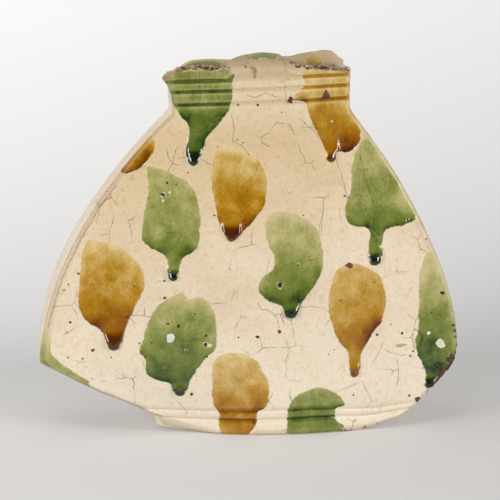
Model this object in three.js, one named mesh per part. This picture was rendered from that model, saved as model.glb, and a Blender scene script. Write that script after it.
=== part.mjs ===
// Slab-built flask vase in slip-coated red earthenware.
// Two tall slabs, front and back, are luted to strips of clay that close the sides, the undersides and
// the base. Rolled coils reinforce the inner angle of the front slab's seams.
// Millimetres, +Z up. The origin is on the table under the middle of the vase. +X is on the right of
// someone who faces the front, and the front looks along -Y.

import * as THREE from 'three';

// Clay and joints
const slabThickness = 6;
const stripThickness = 6;
const jointGap = 0.3;
const coilDiameter = 7;
const coilEndClearance = 5;

// Depth from front to back: along the seams, and how far each slab swells beyond them
const bodySeamDepth = 58;
const neckSeamDepth = 42;
const footBulge = 13;
const bellyBulge = 16;
const neckBulge = 9;
const bellyHeight = 90;

// Foot: flat where the base is, and pared up off the table towards its two ends
const baseReachLeft = 25;
const baseReachRight = 47;
const footReachLeft = 64;
const footReachRight = 108;
const footLiftLeft = 5;
const footLiftRight = 14;
const heelHeightLeft = 7;
const heelHeightRight = 4;
const heelFlareLeft = 2;
const heelFlareRight = 5;
const footCurve = 1.5;

// Body: the low corners, and the rise from them to the neck
const cornerReachLeft = 143.5;
const cornerReachRight = 143.5;
const undersideRiseLeft = 38;
const undersideRiseRight = 36;
const undersideSwellRight = 8;
const bodyRise = 168;
const shoulderTilt = 1.5;
const flankLeft = 55;
const flankRight = 46;
const shoulderInsetLeft = 53;
const shoulderInsetRight = 41;
const shoulderDropLeft = 52;
const shoulderDropRight = 50;
const bodyBevelLeft = 4;
const plainBevel = 1.5;

// Neck: reach to each side of the middle, and the outward lip and drop of the rim at its two sides
const neckReachLeft = 52;
const neckReachRight = 68;
const neckHeight = 30;
const neckTilt = 4;
const rimFlareLeft = 2;
const rimFlareRight = 0.5;
const rimDrop = 4.5;
const crownSquareness = 6;

// Mouth: the front rim is pinched back and drawn up in the middle, and the back rim has two lobes
const pinchWidth = 50;
const pinchShift = -3;
const pinchDepth = 14;
const pinchRise = 7;
const humpSquareness = 4;
const lobeSpacing = 84;
const lobeWidth = 44;
const backLobeLeft = 2;
const backLobeRight = 4.5;

// Grooves scored across the foot, each height measured up from the foot's two ends
const footGrooveWidth = 2.6;
const footGrooveDepth = 1;
const footGrooveLowLeft = 6.5;
const footGrooveLowRight = 3;
const footGrooveLowArch = 3;
const footGrooveHighLeft = 12.5;
const footGrooveHighRight = 7;
const footGrooveHighArch = 2;

// Grooves scored across the neck, each height measured up from the neck's root on the left
const neckGrooveWidth = 3.6;
const neckGrooveDepth = 1.2;
const neckGrooveHeights = [7.4, 16.1, 22.7];

// Fineness of the mesh
const columns = 24;
const rowSpacing = 15;
const rimRows = 4;
const stripSteps = 12;
const baseSteps = 8;
const coilSides = 8;
const coilSteps = 14;
const reachHalvings = 40;

const slipGlaze = { color: 0xe8dabd, roughness: 0.32, metalness: 0 };
const bareClay = { color: 0xa8633f, roughness: 0.85, metalness: 0 };

const { lerp, clamp, smoothstep } = THREE.MathUtils;
const point = (x, height) => new THREE.Vector2(x, height);
const series = (count, make) => Array.from({ length: count }, (_, index) => make(index));

// One side of the outline, from the foot up to the rim, as a reach from the middle at each height.
class SideEdge {
  constructor({ foot, heel, corner, root, rim, swell, flank, shoulder }) {
    const outward = point(corner.y - heel.y, heel.x - corner.x).normalize();
    const belowUnderside = heel.clone().lerp(corner, 0.5).addScaledVector(outward, swell);
    const straightAboveRoot = point(root.x, lerp(root.y, rim.y, 0.5));
    this.foot = foot;
    this.heel = heel;
    this.corner = corner;
    this.root = root;
    this.rim = rim;
    this.heelLine = new THREE.LineCurve(foot, heel);
    this.underside = new THREE.QuadraticBezierCurve(heel, belowUnderside, corner);
    this.flank = new THREE.CubicBezierCurve(corner, flank, shoulder, root);
    this.neck = new THREE.QuadraticBezierCurve(root, straightAboveRoot, rim);
  }

  // The reach at a height. Heights past either end take the reach of that end.
  reach(height) {
    const level = clamp(height, this.foot.y, this.rim.y);
    const curves = [this.heelLine, this.underside, this.flank, this.neck];
    const curve = curves.find((piece) => piece.getPoint(1).y >= level);
    let low = 0;
    let high = 1;
    for (let halving = 0; halving < reachHalvings; halving += 1) {
      const middle = (low + high) / 2;
      if (curve.getPoint(middle).y < level) low = middle;
      else high = middle;
    }
    return curve.getPoint(high).x;
  }
}

const leftFoot = point(footReachLeft, footLiftLeft);
const leftHeel = point(footReachLeft + heelFlareLeft, leftFoot.y + heelHeightLeft);
const leftCorner = point(cornerReachLeft, leftHeel.y + undersideRiseLeft);
const leftRoot = point(neckReachLeft, leftCorner.y + bodyRise);
const leftEdge = new SideEdge({
  foot: leftFoot,
  heel: leftHeel,
  corner: leftCorner,
  root: leftRoot,
  rim: point(neckReachLeft + rimFlareLeft, leftRoot.y + neckHeight - rimDrop),
  swell: 0,
  flank: point(leftCorner.x, leftCorner.y + flankLeft),
  shoulder: point(leftRoot.x + shoulderInsetLeft, leftRoot.y - shoulderDropLeft),
});

const rightFoot = point(footReachRight, footLiftRight);
const rightHeel = point(footReachRight + heelFlareRight, rightFoot.y + heelHeightRight);
const rightCorner = point(cornerReachRight, rightHeel.y + undersideRiseRight);
const rightRoot = point(neckReachRight, leftRoot.y + shoulderTilt);
const rightEdge = new SideEdge({
  foot: rightFoot,
  heel: rightHeel,
  corner: rightCorner,
  root: rightRoot,
  rim: point(neckReachRight + rimFlareRight, leftRoot.y + neckTilt + neckHeight - rimDrop),
  swell: undersideSwellRight,
  flank: point(rightCorner.x, rightCorner.y + flankRight),
  shoulder: point(rightRoot.x + shoulderInsetRight, rightRoot.y - shoulderDropRight),
});

// How far the walls have narrowed at a height, from 0 at the belly to 1 at the neck.
const narrowing = (height) => smoothstep(height, bellyHeight, leftRoot.y);

// Half of the outer depth at a place on the front elevation: flat along the seams, swelling between them.
function halfDepth(x, height) {
  const low = -leftEdge.reach(height);
  const high = rightEdge.reach(height);
  const across = clamp((2 * x - low - high) / (high - low), -1, 1);
  const rising = lerp(footBulge, bellyBulge, smoothstep(height, 0, bellyHeight));
  const bulge = lerp(rising, neckBulge, narrowing(height));
  const seamDepth = lerp(bodySeamDepth, neckSeamDepth, narrowing(height));
  return seamDepth / 2 + bulge * (1 - across * across) ** 2;
}

// The bottom edge of the foot on the front elevation.
function footLevel(x) {
  const beyondLeft = Math.max(-baseReachLeft - x, 0) / (footReachLeft - baseReachLeft);
  const beyondRight = Math.max(x - baseReachRight, 0) / (footReachRight - baseReachRight);
  return footLiftLeft * beyondLeft ** footCurve + footLiftRight * beyondRight ** footCurve;
}

// A row of points across a slab, from a height on its left edge to one on its right. It sags by its arch
// in the middle, is cut to its groove's depth, and takes a share of the rim's shaping.
const row = (left, right, { arch = 0, cut = 0, rim = 0 } = {}) => ({ left, right, arch, cut, rim });

function grooveRows(left, right, width, cut, arch) {
  const half = width / 2;
  return [
    row(left - half, right - half, { arch }),
    row(left, right, { arch, cut }),
    row(left + half, right + half, { arch }),
  ];
}

function footGroove(aboveLeft, aboveRight, arch) {
  return grooveRows(leftFoot.y + aboveLeft, rightFoot.y + aboveRight, footGrooveWidth, footGrooveDepth, arch);
}

function neckGroove(height) {
  const left = leftRoot.y + height;
  return grooveRows(left, left + neckTilt, neckGrooveWidth, neckGrooveDepth, 0);
}

// Evenly spaced rows between two given rows, without those two.
function rowsBetween(lower, upper) {
  const count = Math.max(Math.ceil((upper.left - lower.left) / rowSpacing), 1);
  return series(count - 1, (index) => {
    const share = (index + 1) / count;
    const arch = lerp(lower.arch, upper.arch, share);
    return row(lerp(lower.left, upper.left, share), lerp(lower.right, upper.right, share), { arch });
  });
}

// All rows of a slab above its bottom edge, in order of height.
function slabRows() {
  const footRows = [
    ...footGroove(footGrooveLowLeft, footGrooveLowRight, footGrooveLowArch),
    ...footGroove(footGrooveHighLeft, footGrooveHighRight, footGrooveHighArch),
  ];
  const cornerRow = row(leftCorner.y, rightCorner.y);
  const rootRow = row(leftRoot.y, rightRoot.y);
  const neckRows = neckGrooveHeights.flatMap(neckGroove);
  const lip = neckRows.at(-1);
  const mouthRows = series(rimRows, (index) => {
    const rim = (index + 1) / rimRows;
    return row(lerp(lip.left, leftEdge.rim.y, rim), lerp(lip.right, rightEdge.rim.y, rim), { rim });
  });
  return [
    ...footRows,
    ...rowsBetween(footRows.at(-1), cornerRow),
    cornerRow,
    ...rowsBetween(cornerRow, rootRow),
    rootRow,
    ...neckRows,
    ...mouthRows,
  ];
}

// A smooth hump, 1 at its middle and close to 0 beyond its width.
const hump = (distance, width) => Math.exp(-(Math.abs(2 * distance / width) ** humpSquareness));
const neckMiddle = (neckReachRight - neckReachLeft) / 2;
const neckHalfWidth = (neckReachRight + neckReachLeft) / 2;
const fromMiddle = (x) => Math.min(Math.abs(x - neckMiddle) / neckHalfWidth, 1);
const crown = (x) => rimDrop * (1 - fromMiddle(x) ** crownSquareness);

// The shaping of each rim across the neck: how far it rises, and how far it is pushed to the back.
function frontRim(x) {
  const pinch = hump(x - neckMiddle - pinchShift, pinchWidth);
  return { rise: crown(x) + pinchRise * pinch, push: pinchDepth * pinch };
}

function backRim(x) {
  const left = backLobeLeft * hump(x - neckMiddle + lobeSpacing / 2, lobeWidth);
  const right = backLobeRight * hump(x - neckMiddle - lobeSpacing / 2, lobeWidth);
  return { rise: crown(x) + left + right, push: 0 };
}

// The points of one face of a slab. The facing is -1 for the front slab and 1 for the back one. The face
// lies a depth under the outer face, and the bevels, each taken at a height, set it in at its sides.
function slabFace({ facing, rimAt, under, bevelLeft, bevelRight, grooved }) {
  const acrossSlab = (left, right, place) => series(columns + 1, (column) => {
    const low = bevelLeft(left) - leftEdge.reach(left);
    const high = rightEdge.reach(right) - bevelRight(right);
    const share = column / columns;
    return place(lerp(low, high, share), share);
  });
  const footEdge = acrossSlab(leftFoot.y, rightFoot.y, (x) => {
    const level = footLevel(x);
    return new THREE.Vector3(x, facing * (halfDepth(x, level) - under), level);
  });
  const upperRows = slabRows().map(({ left, right, arch, cut, rim }) => (
    acrossSlab(left, right, (x, share) => {
      const level = lerp(left, right, share) - arch * 4 * share * (1 - share);
      const depth = halfDepth(x, level) - under - (grooved ? cut : 0);
      const { rise, push } = rimAt(x);
      return new THREE.Vector3(x, facing * depth + push * rim ** 2, level + rise * rim);
    })
  ));
  return [footEdge, ...upperRows];
}

// A closed solid between two grids of points of the same size. Seen from outside on the near grid, the
// rows follow each other to the left of the columns' direction.
function solidBetween(near, far) {
  const width = near[0].length;
  const top = near.length - 1;
  const last = width - 1;
  const index = [];
  const nearAt = (line, column) => line * width + column;
  const farAt = (line, column) => (near.length + line) * width + column;
  const quad = (a, b, c, d) => index.push(a, b, c, a, c, d);
  for (let line = 0; line < top; line += 1) {
    const next = line + 1;
    for (let column = 0; column < last; column += 1) {
      const beside = column + 1;
      quad(nearAt(line, column), nearAt(line, beside), nearAt(next, beside), nearAt(next, column));
      quad(farAt(line, column), farAt(next, column), farAt(next, beside), farAt(line, beside));
    }
    quad(nearAt(line, 0), nearAt(next, 0), farAt(next, 0), farAt(line, 0));
    quad(nearAt(line, last), farAt(line, last), farAt(next, last), nearAt(next, last));
  }
  for (let column = 0; column < last; column += 1) {
    const beside = column + 1;
    quad(nearAt(0, column), farAt(0, column), farAt(0, beside), nearAt(0, beside));
    quad(nearAt(top, column), nearAt(top, beside), farAt(top, beside), farAt(top, column));
  }
  const positions = [...near.flat(), ...far.flat()].flatMap((vertex) => vertex.toArray());
  const geometry = new THREE.BufferGeometry();
  geometry.setAttribute('position', new THREE.Float32BufferAttribute(positions, 3));
  geometry.setIndex(index);
  geometry.computeVertexNormals();
  return geometry;
}

const square = () => 0;
const pared = () => plainBevel;
const paredWide = (height) => lerp(bodyBevelLeft, plainBevel, narrowing(height));

function frontWall() {
  const slab = { facing: -1, rimAt: frontRim };
  const outer = slabFace({ ...slab, under: 0, bevelLeft: paredWide, bevelRight: pared, grooved: true });
  const inner = slabFace({ ...slab, under: slabThickness, bevelLeft: square, bevelRight: square });
  return solidBetween(outer, inner);
}

function backWall() {
  const slab = { facing: 1, rimAt: backRim };
  const outer = slabFace({ ...slab, under: 0, bevelLeft: pared, bevelRight: pared, grooved: true });
  const inner = slabFace({ ...slab, under: slabThickness, bevelLeft: square, bevelRight: square });
  return solidBetween(inner, outer);
}

// The outline that the strips follow on the front elevation: down the left side, along the bottom and up
// the right side, in spans that share their end points.
const mirrored = (vertex) => point(-vertex.x, vertex.y);
const downLeft = (curve) => curve.getPoints(stripSteps).map(mirrored).reverse();
const upRight = (curve) => curve.getPoints(stripSteps);
const alongFoot = (from, to) => series(baseSteps + 1, (step) => {
  const x = lerp(from, to, step / baseSteps);
  return point(x, footLevel(x));
});
const spanPoints = {
  leftNeck: downLeft(leftEdge.neck),
  leftFlank: downLeft(leftEdge.flank),
  leftUnderside: downLeft(leftEdge.underside),
  leftFoot: [mirrored(leftHeel), ...alongFoot(-footReachLeft, -baseReachLeft)],
  base: alongFoot(-baseReachLeft, baseReachRight),
  rightFoot: [...alongFoot(baseReachRight, footReachRight), rightHeel],
  rightUnderside: upRight(rightEdge.underside),
  rightFlank: upRight(rightEdge.flank),
  rightNeck: upRight(rightEdge.neck),
};
const outline = [];
const spans = {};
for (const [name, points] of Object.entries(spanPoints)) {
  const start = Math.max(outline.length - 1, 0);
  outline.push(...points.slice(outline.length > 0 ? 1 : 0));
  spans[name] = { start, end: outline.length - 1 };
}

// The outline moved into the vase by a distance, with its corners mitred.
function insetOutline(distance) {
  const step = (from) => outline[from + 1].clone().sub(outline[from]).normalize();
  const final = outline.length - 1;
  return outline.map((vertex, index) => {
    const arriving = step(Math.max(index - 1, 0));
    const leaving = step(Math.min(index, final - 1));
    const along = arriving.clone().add(leaving).normalize();
    const inward = point(-along.y, along.x);
    return vertex.clone().addScaledVector(inward, distance / along.dot(leaving));
  });
}

const innerOutline = insetOutline(stripThickness);

// A strip of clay between the two slabs, over one or more spans, cut back by half of the joint at its ends.
function strip(firstSpan, lastSpan) {
  const { start } = spans[firstSpan];
  const { end } = spans[lastSpan];
  const trim = (points, index) => {
    const neighbour = index === start ? index + 1 : index - 1;
    const along = points[neighbour].clone().sub(points[index]).normalize();
    const isEnd = index === start || index === end;
    return points[index].clone().addScaledVector(along, isEnd ? jointGap / 2 : 0);
  };
  const face = (points) => series(end - start + 1, (offset) => {
    const place = trim(points, start + offset);
    const reach = halfDepth(place.x, place.y) - slabThickness - jointGap;
    return [-reach, reach].map((y) => new THREE.Vector3(place.x, y, place.y));
  });
  return solidBetween(face(outline), face(innerOutline));
}

// A rolled coil in the inner angle between the front slab and one span of the strips.
function seamCoil(span) {
  const radius = coilDiameter / 2;
  const { start, end } = spans[span];
  const seat = insetOutline(stripThickness + jointGap + radius).slice(start, end + 1);
  const seam = new THREE.CatmullRomCurve3(seat.map(({ x, y }) => {
    const depth = halfDepth(x, y) - slabThickness - jointGap - radius;
    return new THREE.Vector3(x, -depth, y);
  }));
  const margin = coilEndClearance / seam.getLength();
  const path = new THREE.CatmullRomCurve3(series(coilSteps + 1, (step) => (
    seam.getPointAt(lerp(margin, 1 - margin, step / coilSteps))
  )));
  const section = new THREE.Shape(series(coilSides, (side) => {
    const angle = 2 * Math.PI * side / coilSides;
    return point(radius * Math.cos(angle), radius * Math.sin(angle));
  }));
  return new THREE.ExtrudeGeometry(section, { steps: coilSteps, extrudePath: path, bevelEnabled: false });
}

const vase = new THREE.Group();

function addPiece(name, geometry, finish) {
  const mesh = new THREE.Mesh(geometry, new THREE.MeshStandardMaterial(finish));
  mesh.name = name;
  vase.add(mesh);
}

addPiece('front_wall', frontWall(), slipGlaze);
addPiece('back_wall', backWall(), slipGlaze);
addPiece('left_side_wall', strip('leftNeck', 'leftFlank'), slipGlaze);
addPiece('left_underside', strip('leftUnderside', 'leftFoot'), slipGlaze);
addPiece('base_slab', strip('base', 'base'), bareClay);
addPiece('right_underside', strip('rightFoot', 'rightUnderside'), slipGlaze);
addPiece('right_side_wall', strip('rightFlank', 'rightNeck'), slipGlaze);
addPiece('left_seam_coil', seamCoil('leftFlank'), bareClay);
addPiece('left_underside_coil', seamCoil('leftUnderside'), bareClay);
addPiece('base_coil', seamCoil('base'), bareClay);
addPiece('right_underside_coil', seamCoil('rightUnderside'), bareClay);
addPiece('right_seam_coil', seamCoil('rightFlank'), bareClay);

export default vase;
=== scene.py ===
"""Looks of a slab-built flask vase: red clay under a cream slip, with dabs of green and amber glaze that ran.

The solids of the frame give every piece of clay its place. Each is copied, rounded off and pressed uneven
as fingers leave it. The dabs of glaze are cut from the walls that carry them and raised into films, rolls
and beads, small marks of the firing and painted glints are laid on the walls, and a plain pale studio shows
the vase.
"""

import logging
import math
import random
from collections.abc import Callable
from dataclasses import dataclass, field, replace
from enum import Enum

import bmesh
import bpy
import numpy as np
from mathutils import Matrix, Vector
from mathutils.bvhtree import BVHTree


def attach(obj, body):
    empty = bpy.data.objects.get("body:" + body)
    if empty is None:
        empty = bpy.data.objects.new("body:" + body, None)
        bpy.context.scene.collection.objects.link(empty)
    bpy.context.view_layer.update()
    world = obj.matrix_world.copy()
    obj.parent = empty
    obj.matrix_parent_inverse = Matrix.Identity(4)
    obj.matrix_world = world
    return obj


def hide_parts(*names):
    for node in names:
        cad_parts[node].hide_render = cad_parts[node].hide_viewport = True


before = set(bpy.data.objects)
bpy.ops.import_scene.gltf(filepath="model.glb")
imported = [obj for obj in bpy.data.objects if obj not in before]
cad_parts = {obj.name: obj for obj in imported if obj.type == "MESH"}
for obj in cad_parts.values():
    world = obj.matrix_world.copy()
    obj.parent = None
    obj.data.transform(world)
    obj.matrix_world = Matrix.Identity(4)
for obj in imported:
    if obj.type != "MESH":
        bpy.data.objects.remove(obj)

log = logging.getLogger("vase")
MM = 0.001
TINY = 1e-9
BODY = "root"

Colour = tuple[float, float, float, float]
Place = tuple[float, float, float]
Plan = tuple[float, float]
Span = tuple[float, ...]
Feed = float | tuple | bpy.types.NodeSocket


def tint(red: int, green: int, blue: int) -> Colour:
    """A colour as it is seen on a screen, made linear for a shader.

    Args:
        red: its red, from 0 to 255.
        green: its green.
        blue: its blue.

    Returns:
        The linear colour.
    """
    shares = (red / 255, green / 255, blue / 255)
    linear = [((s + 0.055) / 1.055) ** 2.4 if s > 0.04045 else s / 12.92 for s in shares]
    return (*linear, 1.0)


def ease(value: np.ndarray, low: float, high: float) -> np.ndarray:
    """A smooth step from 0 at low to 1 at high."""
    share = np.clip((value - low) / (high - low), 0, 1)
    return share * share * (3 - 2 * share)


def only(piece: bpy.types.Object) -> None:
    """Makes a piece the only selected object, and the active one.

    Args:
        piece: the object to select.
    """
    bpy.ops.object.select_all(action="DESELECT")
    piece.select_set(True)
    bpy.context.view_layer.objects.active = piece


def new_piece(name: str, mesh: bpy.types.Mesh) -> bpy.types.Object:
    """Adds an object for a mesh to the scene.

    Args:
        name: the object's name.
        mesh: its mesh.

    Returns:
        The new object, at the origin.
    """
    piece = bpy.data.objects.new(name, mesh)
    bpy.context.scene.collection.objects.link(piece)
    return piece


def apply_modifier(piece: bpy.types.Object, kind: str, **settings: object) -> None:
    """Puts one modifier on a piece and applies it.

    Args:
        piece: the mesh object to change.
        kind: Blender's name of the modifier.
        settings: the modifier's values.
    """
    only(piece)
    modifier = piece.modifiers.new(kind.lower(), kind)
    for key, value in settings.items():
        setattr(modifier, key, value)
    bpy.ops.object.modifier_apply(modifier=modifier.name)


def vectors_of(items: bpy.types.bpy_prop_collection, name: str) -> np.ndarray:
    """One vector of each item of a mesh.

    Args:
        items: the mesh's vertices, normals or faces.
        name: the item's property to read.

    Returns:
        One row of three numbers per item.
    """
    flat = np.empty(len(items) * 3, np.float32)
    items.foreach_get(name, flat)
    return flat.reshape(-1, 3).astype(float)


def points_of(mesh: bpy.types.Mesh) -> np.ndarray:
    """The places of a mesh's vertices, in metres."""
    return vectors_of(mesh.vertices, "co")


def normals_of(mesh: bpy.types.Mesh) -> np.ndarray:
    """The outward direction at each vertex of a mesh."""
    return vectors_of(mesh.vertex_normals, "vector")


def move_points(mesh: bpy.types.Mesh, points: np.ndarray) -> None:
    """Puts a mesh's vertices at new places."""
    mesh.vertices.foreach_set("co", points.astype(np.float32).ravel())
    mesh.update()


def store(mesh: bpy.types.Mesh, name: str, values: np.ndarray) -> None:
    """Keeps one number per vertex, for a finish to read."""
    layer = mesh.attributes.get(name) or mesh.attributes.new(name, "FLOAT", "POINT")
    layer.data.foreach_set("value", values.astype(np.float32))


def stored(mesh: bpy.types.Mesh, name: str) -> np.ndarray:
    """Reads the numbers that a mesh keeps.

    Args:
        mesh: the mesh that has them.
        name: their name.

    Returns:
        One number per vertex.
    """
    values = np.empty(len(mesh.vertices), np.float32)
    mesh.attributes[name].data.foreach_get("value", values)
    return values


def smooth_shading(mesh: bpy.types.Mesh) -> None:
    """Shades every face of a mesh smooth."""
    mesh.polygons.foreach_set("use_smooth", np.ones(len(mesh.polygons), bool))
    mesh.update()


def drop_faces(mesh: bpy.types.Mesh, doomed: np.ndarray) -> None:
    """Deletes faces of a mesh, with the points that only they use.

    Args:
        mesh: the mesh to cut.
        doomed: whether each face goes.
    """
    shape = bmesh.new()
    shape.from_mesh(mesh)
    shape.faces.ensure_lookup_table()
    faces = [shape.faces[int(index)] for index in np.flatnonzero(doomed)]
    bmesh.ops.delete(shape, geom=faces, context="FACES")
    shape.to_mesh(mesh)
    shape.free()


def hollowness(mesh: bpy.types.Mesh, rounds: int) -> np.ndarray:
    """How far each point lies in a hollow, in millimetres, against its smoothed surroundings.

    Args:
        mesh: the mesh to measure.
        rounds: how often the surroundings are averaged.

    Returns:
        One value per vertex, positive in hollows and negative on ridges.
    """
    ends = np.empty(len(mesh.edges) * 2, np.int32)
    mesh.edges.foreach_get("vertices", ends)
    first, second = ends.reshape(-1, 2).T
    count = len(mesh.vertices)
    degree = np.bincount(first, minlength=count) + np.bincount(second, minlength=count)
    points = points_of(mesh)
    smooth = points.copy()
    for _ in range(rounds):
        total = [
            np.bincount(first, smooth[second, axis], count) + np.bincount(second, smooth[first, axis], count)
            for axis in range(3)
        ]
        smooth = np.stack(total, axis=1) / np.maximum(degree, 1)[:, None]
    return ((smooth - points) * normals_of(mesh)).sum(axis=1) / MM


@dataclass(frozen=True)
class Cloud:
    """Cloudy noise: its size in millimetres, its detail, its shift and the span that becomes a share."""

    size: float | Place
    detail: float = 2.0
    shift: float = 0.0
    span: Span = (0.0, 1.0)


class Sketch:
    """A material under construction, written one node at a time on Object coordinates."""

    depth_stretch: float = 8.0
    swirl_scale: float = 2.3
    swirl_detail: float = 3.0

    def __init__(self, name: str) -> None:
        """Starts an empty material.

        Args:
            name: the material's name.
        """
        self.material = bpy.data.materials.new(name)
        self.material.use_nodes = True
        self.tree = self.material.node_tree
        self.tree.nodes.clear()
        self.place = self.add("ShaderNodeTexCoord", {}).outputs["Object"]

    def add(self, kind: str, inputs: dict[str | int, Feed], **settings: object) -> bpy.types.Node:
        """Adds a node.

        Args:
            kind: the node's type.
            inputs: what each input socket gets, a value or another node's output.
            settings: the node's own settings.

        Returns:
            The new node.
        """
        node = self.tree.nodes.new(kind)
        for key, value in settings.items():
            setattr(node, key, value)
        for key, value in inputs.items():
            if isinstance(value, bpy.types.NodeSocket):
                self.tree.links.new(value, node.inputs[key])
            else:
                node.inputs[key].default_value = value
        return node

    def attribute(self, name: str) -> bpy.types.NodeSocket:
        """A number kept on the mesh."""
        return self.add("ShaderNodeAttribute", {}, attribute_name=name).outputs["Fac"]

    def sum(self, operation: str, first: Feed, second: Feed = 0.0) -> bpy.types.NodeSocket:
        """One step of arithmetic on two numbers."""
        return self.add("ShaderNodeMath", {0: first, 1: second}, operation=operation).outputs[0]

    def step(self, value: Feed, low: Feed, high: Feed, start: float = 0.0,
             end: float = 1.0) -> bpy.types.NodeSocket:
        """A smooth step from start to end as a value goes from low to high."""
        inputs = {"Value": value, "From Min": low, "From Max": high, "To Min": start, "To Max": end}
        return self.add("ShaderNodeMapRange", inputs, interpolation_type="SMOOTHSTEP").outputs["Result"]

    def mix(self, share: Feed, first: Feed, second: Feed, blend: str = "MIX") -> bpy.types.NodeSocket:
        """Two colours blended by a share."""
        inputs = {0: share, 6: first, 7: second}
        return self.add("ShaderNodeMix", inputs, data_type="RGBA", blend_type=blend).outputs[2]

    def stretched(self, grain: Place, shift: float = 0.0) -> bpy.types.NodeSocket:
        """The place, divided along each axis by a size.

        Args:
            grain: the sizes along the axes, in millimetres.
            shift: moves the pattern, so that two layers differ.

        Returns:
            The place in grains.
        """
        scale = tuple(1 / (size * MM) for size in grain)
        inputs = {"Vector": self.place, "Scale": scale, "Location": (shift, shift, shift)}
        return self.add("ShaderNodeMapping", inputs).outputs["Vector"]

    def noise(self, cloud: Cloud) -> bpy.types.NodeSocket:
        """The noise of a cloud.

        Args:
            cloud: its sizes, where one size holds along all three axes.

        Returns:
            A number about one half.
        """
        grain = cloud.size if isinstance(cloud.size, tuple) else (cloud.size,) * 3
        inputs = {"Vector": self.stretched(grain, cloud.shift), "Scale": 1.0, "Detail": cloud.detail}
        return self.add("ShaderNodeTexNoise", inputs).outputs["Fac"]

    def share(self, cloud: Cloud) -> bpy.types.NodeSocket:
        """The noise of a cloud, stepped over its span."""
        return self.step(self.noise(cloud), *cloud.span)

    def sway(self, cloud: Cloud, gain: float = 1.0) -> bpy.types.NodeSocket:
        """The noise of a cloud about nought, times a gain."""
        return self.sum("MULTIPLY", self.sum("SUBTRACT", self.noise(cloud), 0.5), gain)

    def axes(self) -> bpy.types.bpy_prop_collection:
        """The place along each axis, in metres."""
        return self.add("ShaderNodeSeparateXYZ", {"Vector": self.place}).outputs

    def seen(self, where: Feed) -> bpy.types.NodeSocket:
        """Whether a light path is what the eye sees.

        Args:
            where: the share of the place that a mirror or glass shows.

        Returns:
            1 for what is looked at, and that share for what a mirror or glass shows.
        """
        rays = self.add("ShaderNodeLightPath", {}).outputs
        mirrored = self.sum("MAXIMUM", rays["Is Glossy Ray"], rays["Is Transmission Ray"])
        return self.sum("MAXIMUM", rays["Is Camera Ray"], self.sum("MULTIPLY", mirrored, where))

    def cells(self, size: float, edges: bool = False, wander: float = 0.0,
              shift: float = 0.0) -> bpy.types.Node:
        """Scattered cells of a size in millimetres: their edges, or the distance to their middles.

        Args:
            size: how far the cells lie apart.
            edges: whether the distance is measured to the edges between cells.
            wander: how far the cells are distorted, as a share of their size.
            shift: moves the pattern, so that two layers differ.

        Returns:
            The Voronoi node.
        """
        vector = self.stretched((size, size * self.depth_stretch, size), shift)
        if wander:
            inputs = {"Vector": vector, "Scale": self.swirl_scale, "Detail": self.swirl_detail}
            swirl = self.add("ShaderNodeTexNoise", inputs).outputs["Color"]
            offset = self.add("ShaderNodeVectorMath", {0: swirl, 1: (0.5, 0.5, 0.5)}, operation="SUBTRACT")
            inputs = {0: offset.outputs[0], "Scale": wander}
            grown = self.add("ShaderNodeVectorMath", inputs, operation="SCALE")
            vector = self.add("ShaderNodeVectorMath", {0: vector, 1: grown.outputs[0]}).outputs[0]
        feature = "DISTANCE_TO_EDGE" if edges else "F1"
        return self.add("ShaderNodeTexVoronoi", {"Vector": vector, "Scale": 1.0}, feature=feature)

    def ramp(self, value: Feed, stops: tuple[tuple[float, Colour], ...]) -> bpy.types.NodeSocket:
        """A colour looked up on a scale.

        Args:
            value: where on the scale, from 0 to 1.
            stops: the scale's places and their colours.

        Returns:
            The colour.
        """
        node = self.add("ShaderNodeValToRGB", {"Fac": value})
        scale = node.color_ramp.elements
        for _ in range(len(stops) - len(scale)):
            scale.new(1.0)
        for element, (position, colour) in zip(scale, stops):
            element.position = position
            element.color = colour
        return node.outputs["Color"]

    def finish(self, colour: Feed, roughness: Feed, height: Feed, **sockets: Feed) -> bpy.types.Material:
        """Closes the material with its shader.

        Args:
            colour: the base colour.
            roughness: how matt the surface is.
            height: the fine relief, in millimetres.
            sockets: other shader inputs, by name.

        Returns:
            The finished material.
        """
        bump = self.add("ShaderNodeBump", {"Height": height, "Distance": MM, "Strength": 1.0})
        inputs = {"Base Color": colour, "Roughness": roughness, "Normal": bump.outputs["Normal"], **sockets}
        shader = self.add("ShaderNodeBsdfPrincipled", inputs)
        self.add("ShaderNodeOutputMaterial", {"Surface": shader.outputs[0]})
        return self.material


class Air(Sketch):
    """A world under construction, written one node at a time on the way that is looked."""

    def __init__(self, name: str) -> None:
        """Starts the scene's world.

        Args:
            name: the world's name.
        """
        world = bpy.data.worlds.new(name)
        bpy.context.scene.world = world
        world.use_nodes = True
        self.tree = world.node_tree
        self.place = self.add("ShaderNodeTexCoord", {}).outputs["Generated"]


@dataclass(frozen=True)
class Surface:
    """What a finish gives a shader: colour, roughness, relief in millimetres and where it is cracked."""

    colour: bpy.types.NodeSocket
    roughness: bpy.types.NodeSocket
    height: bpy.types.NodeSocket
    crack: bpy.types.NodeSocket


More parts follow.
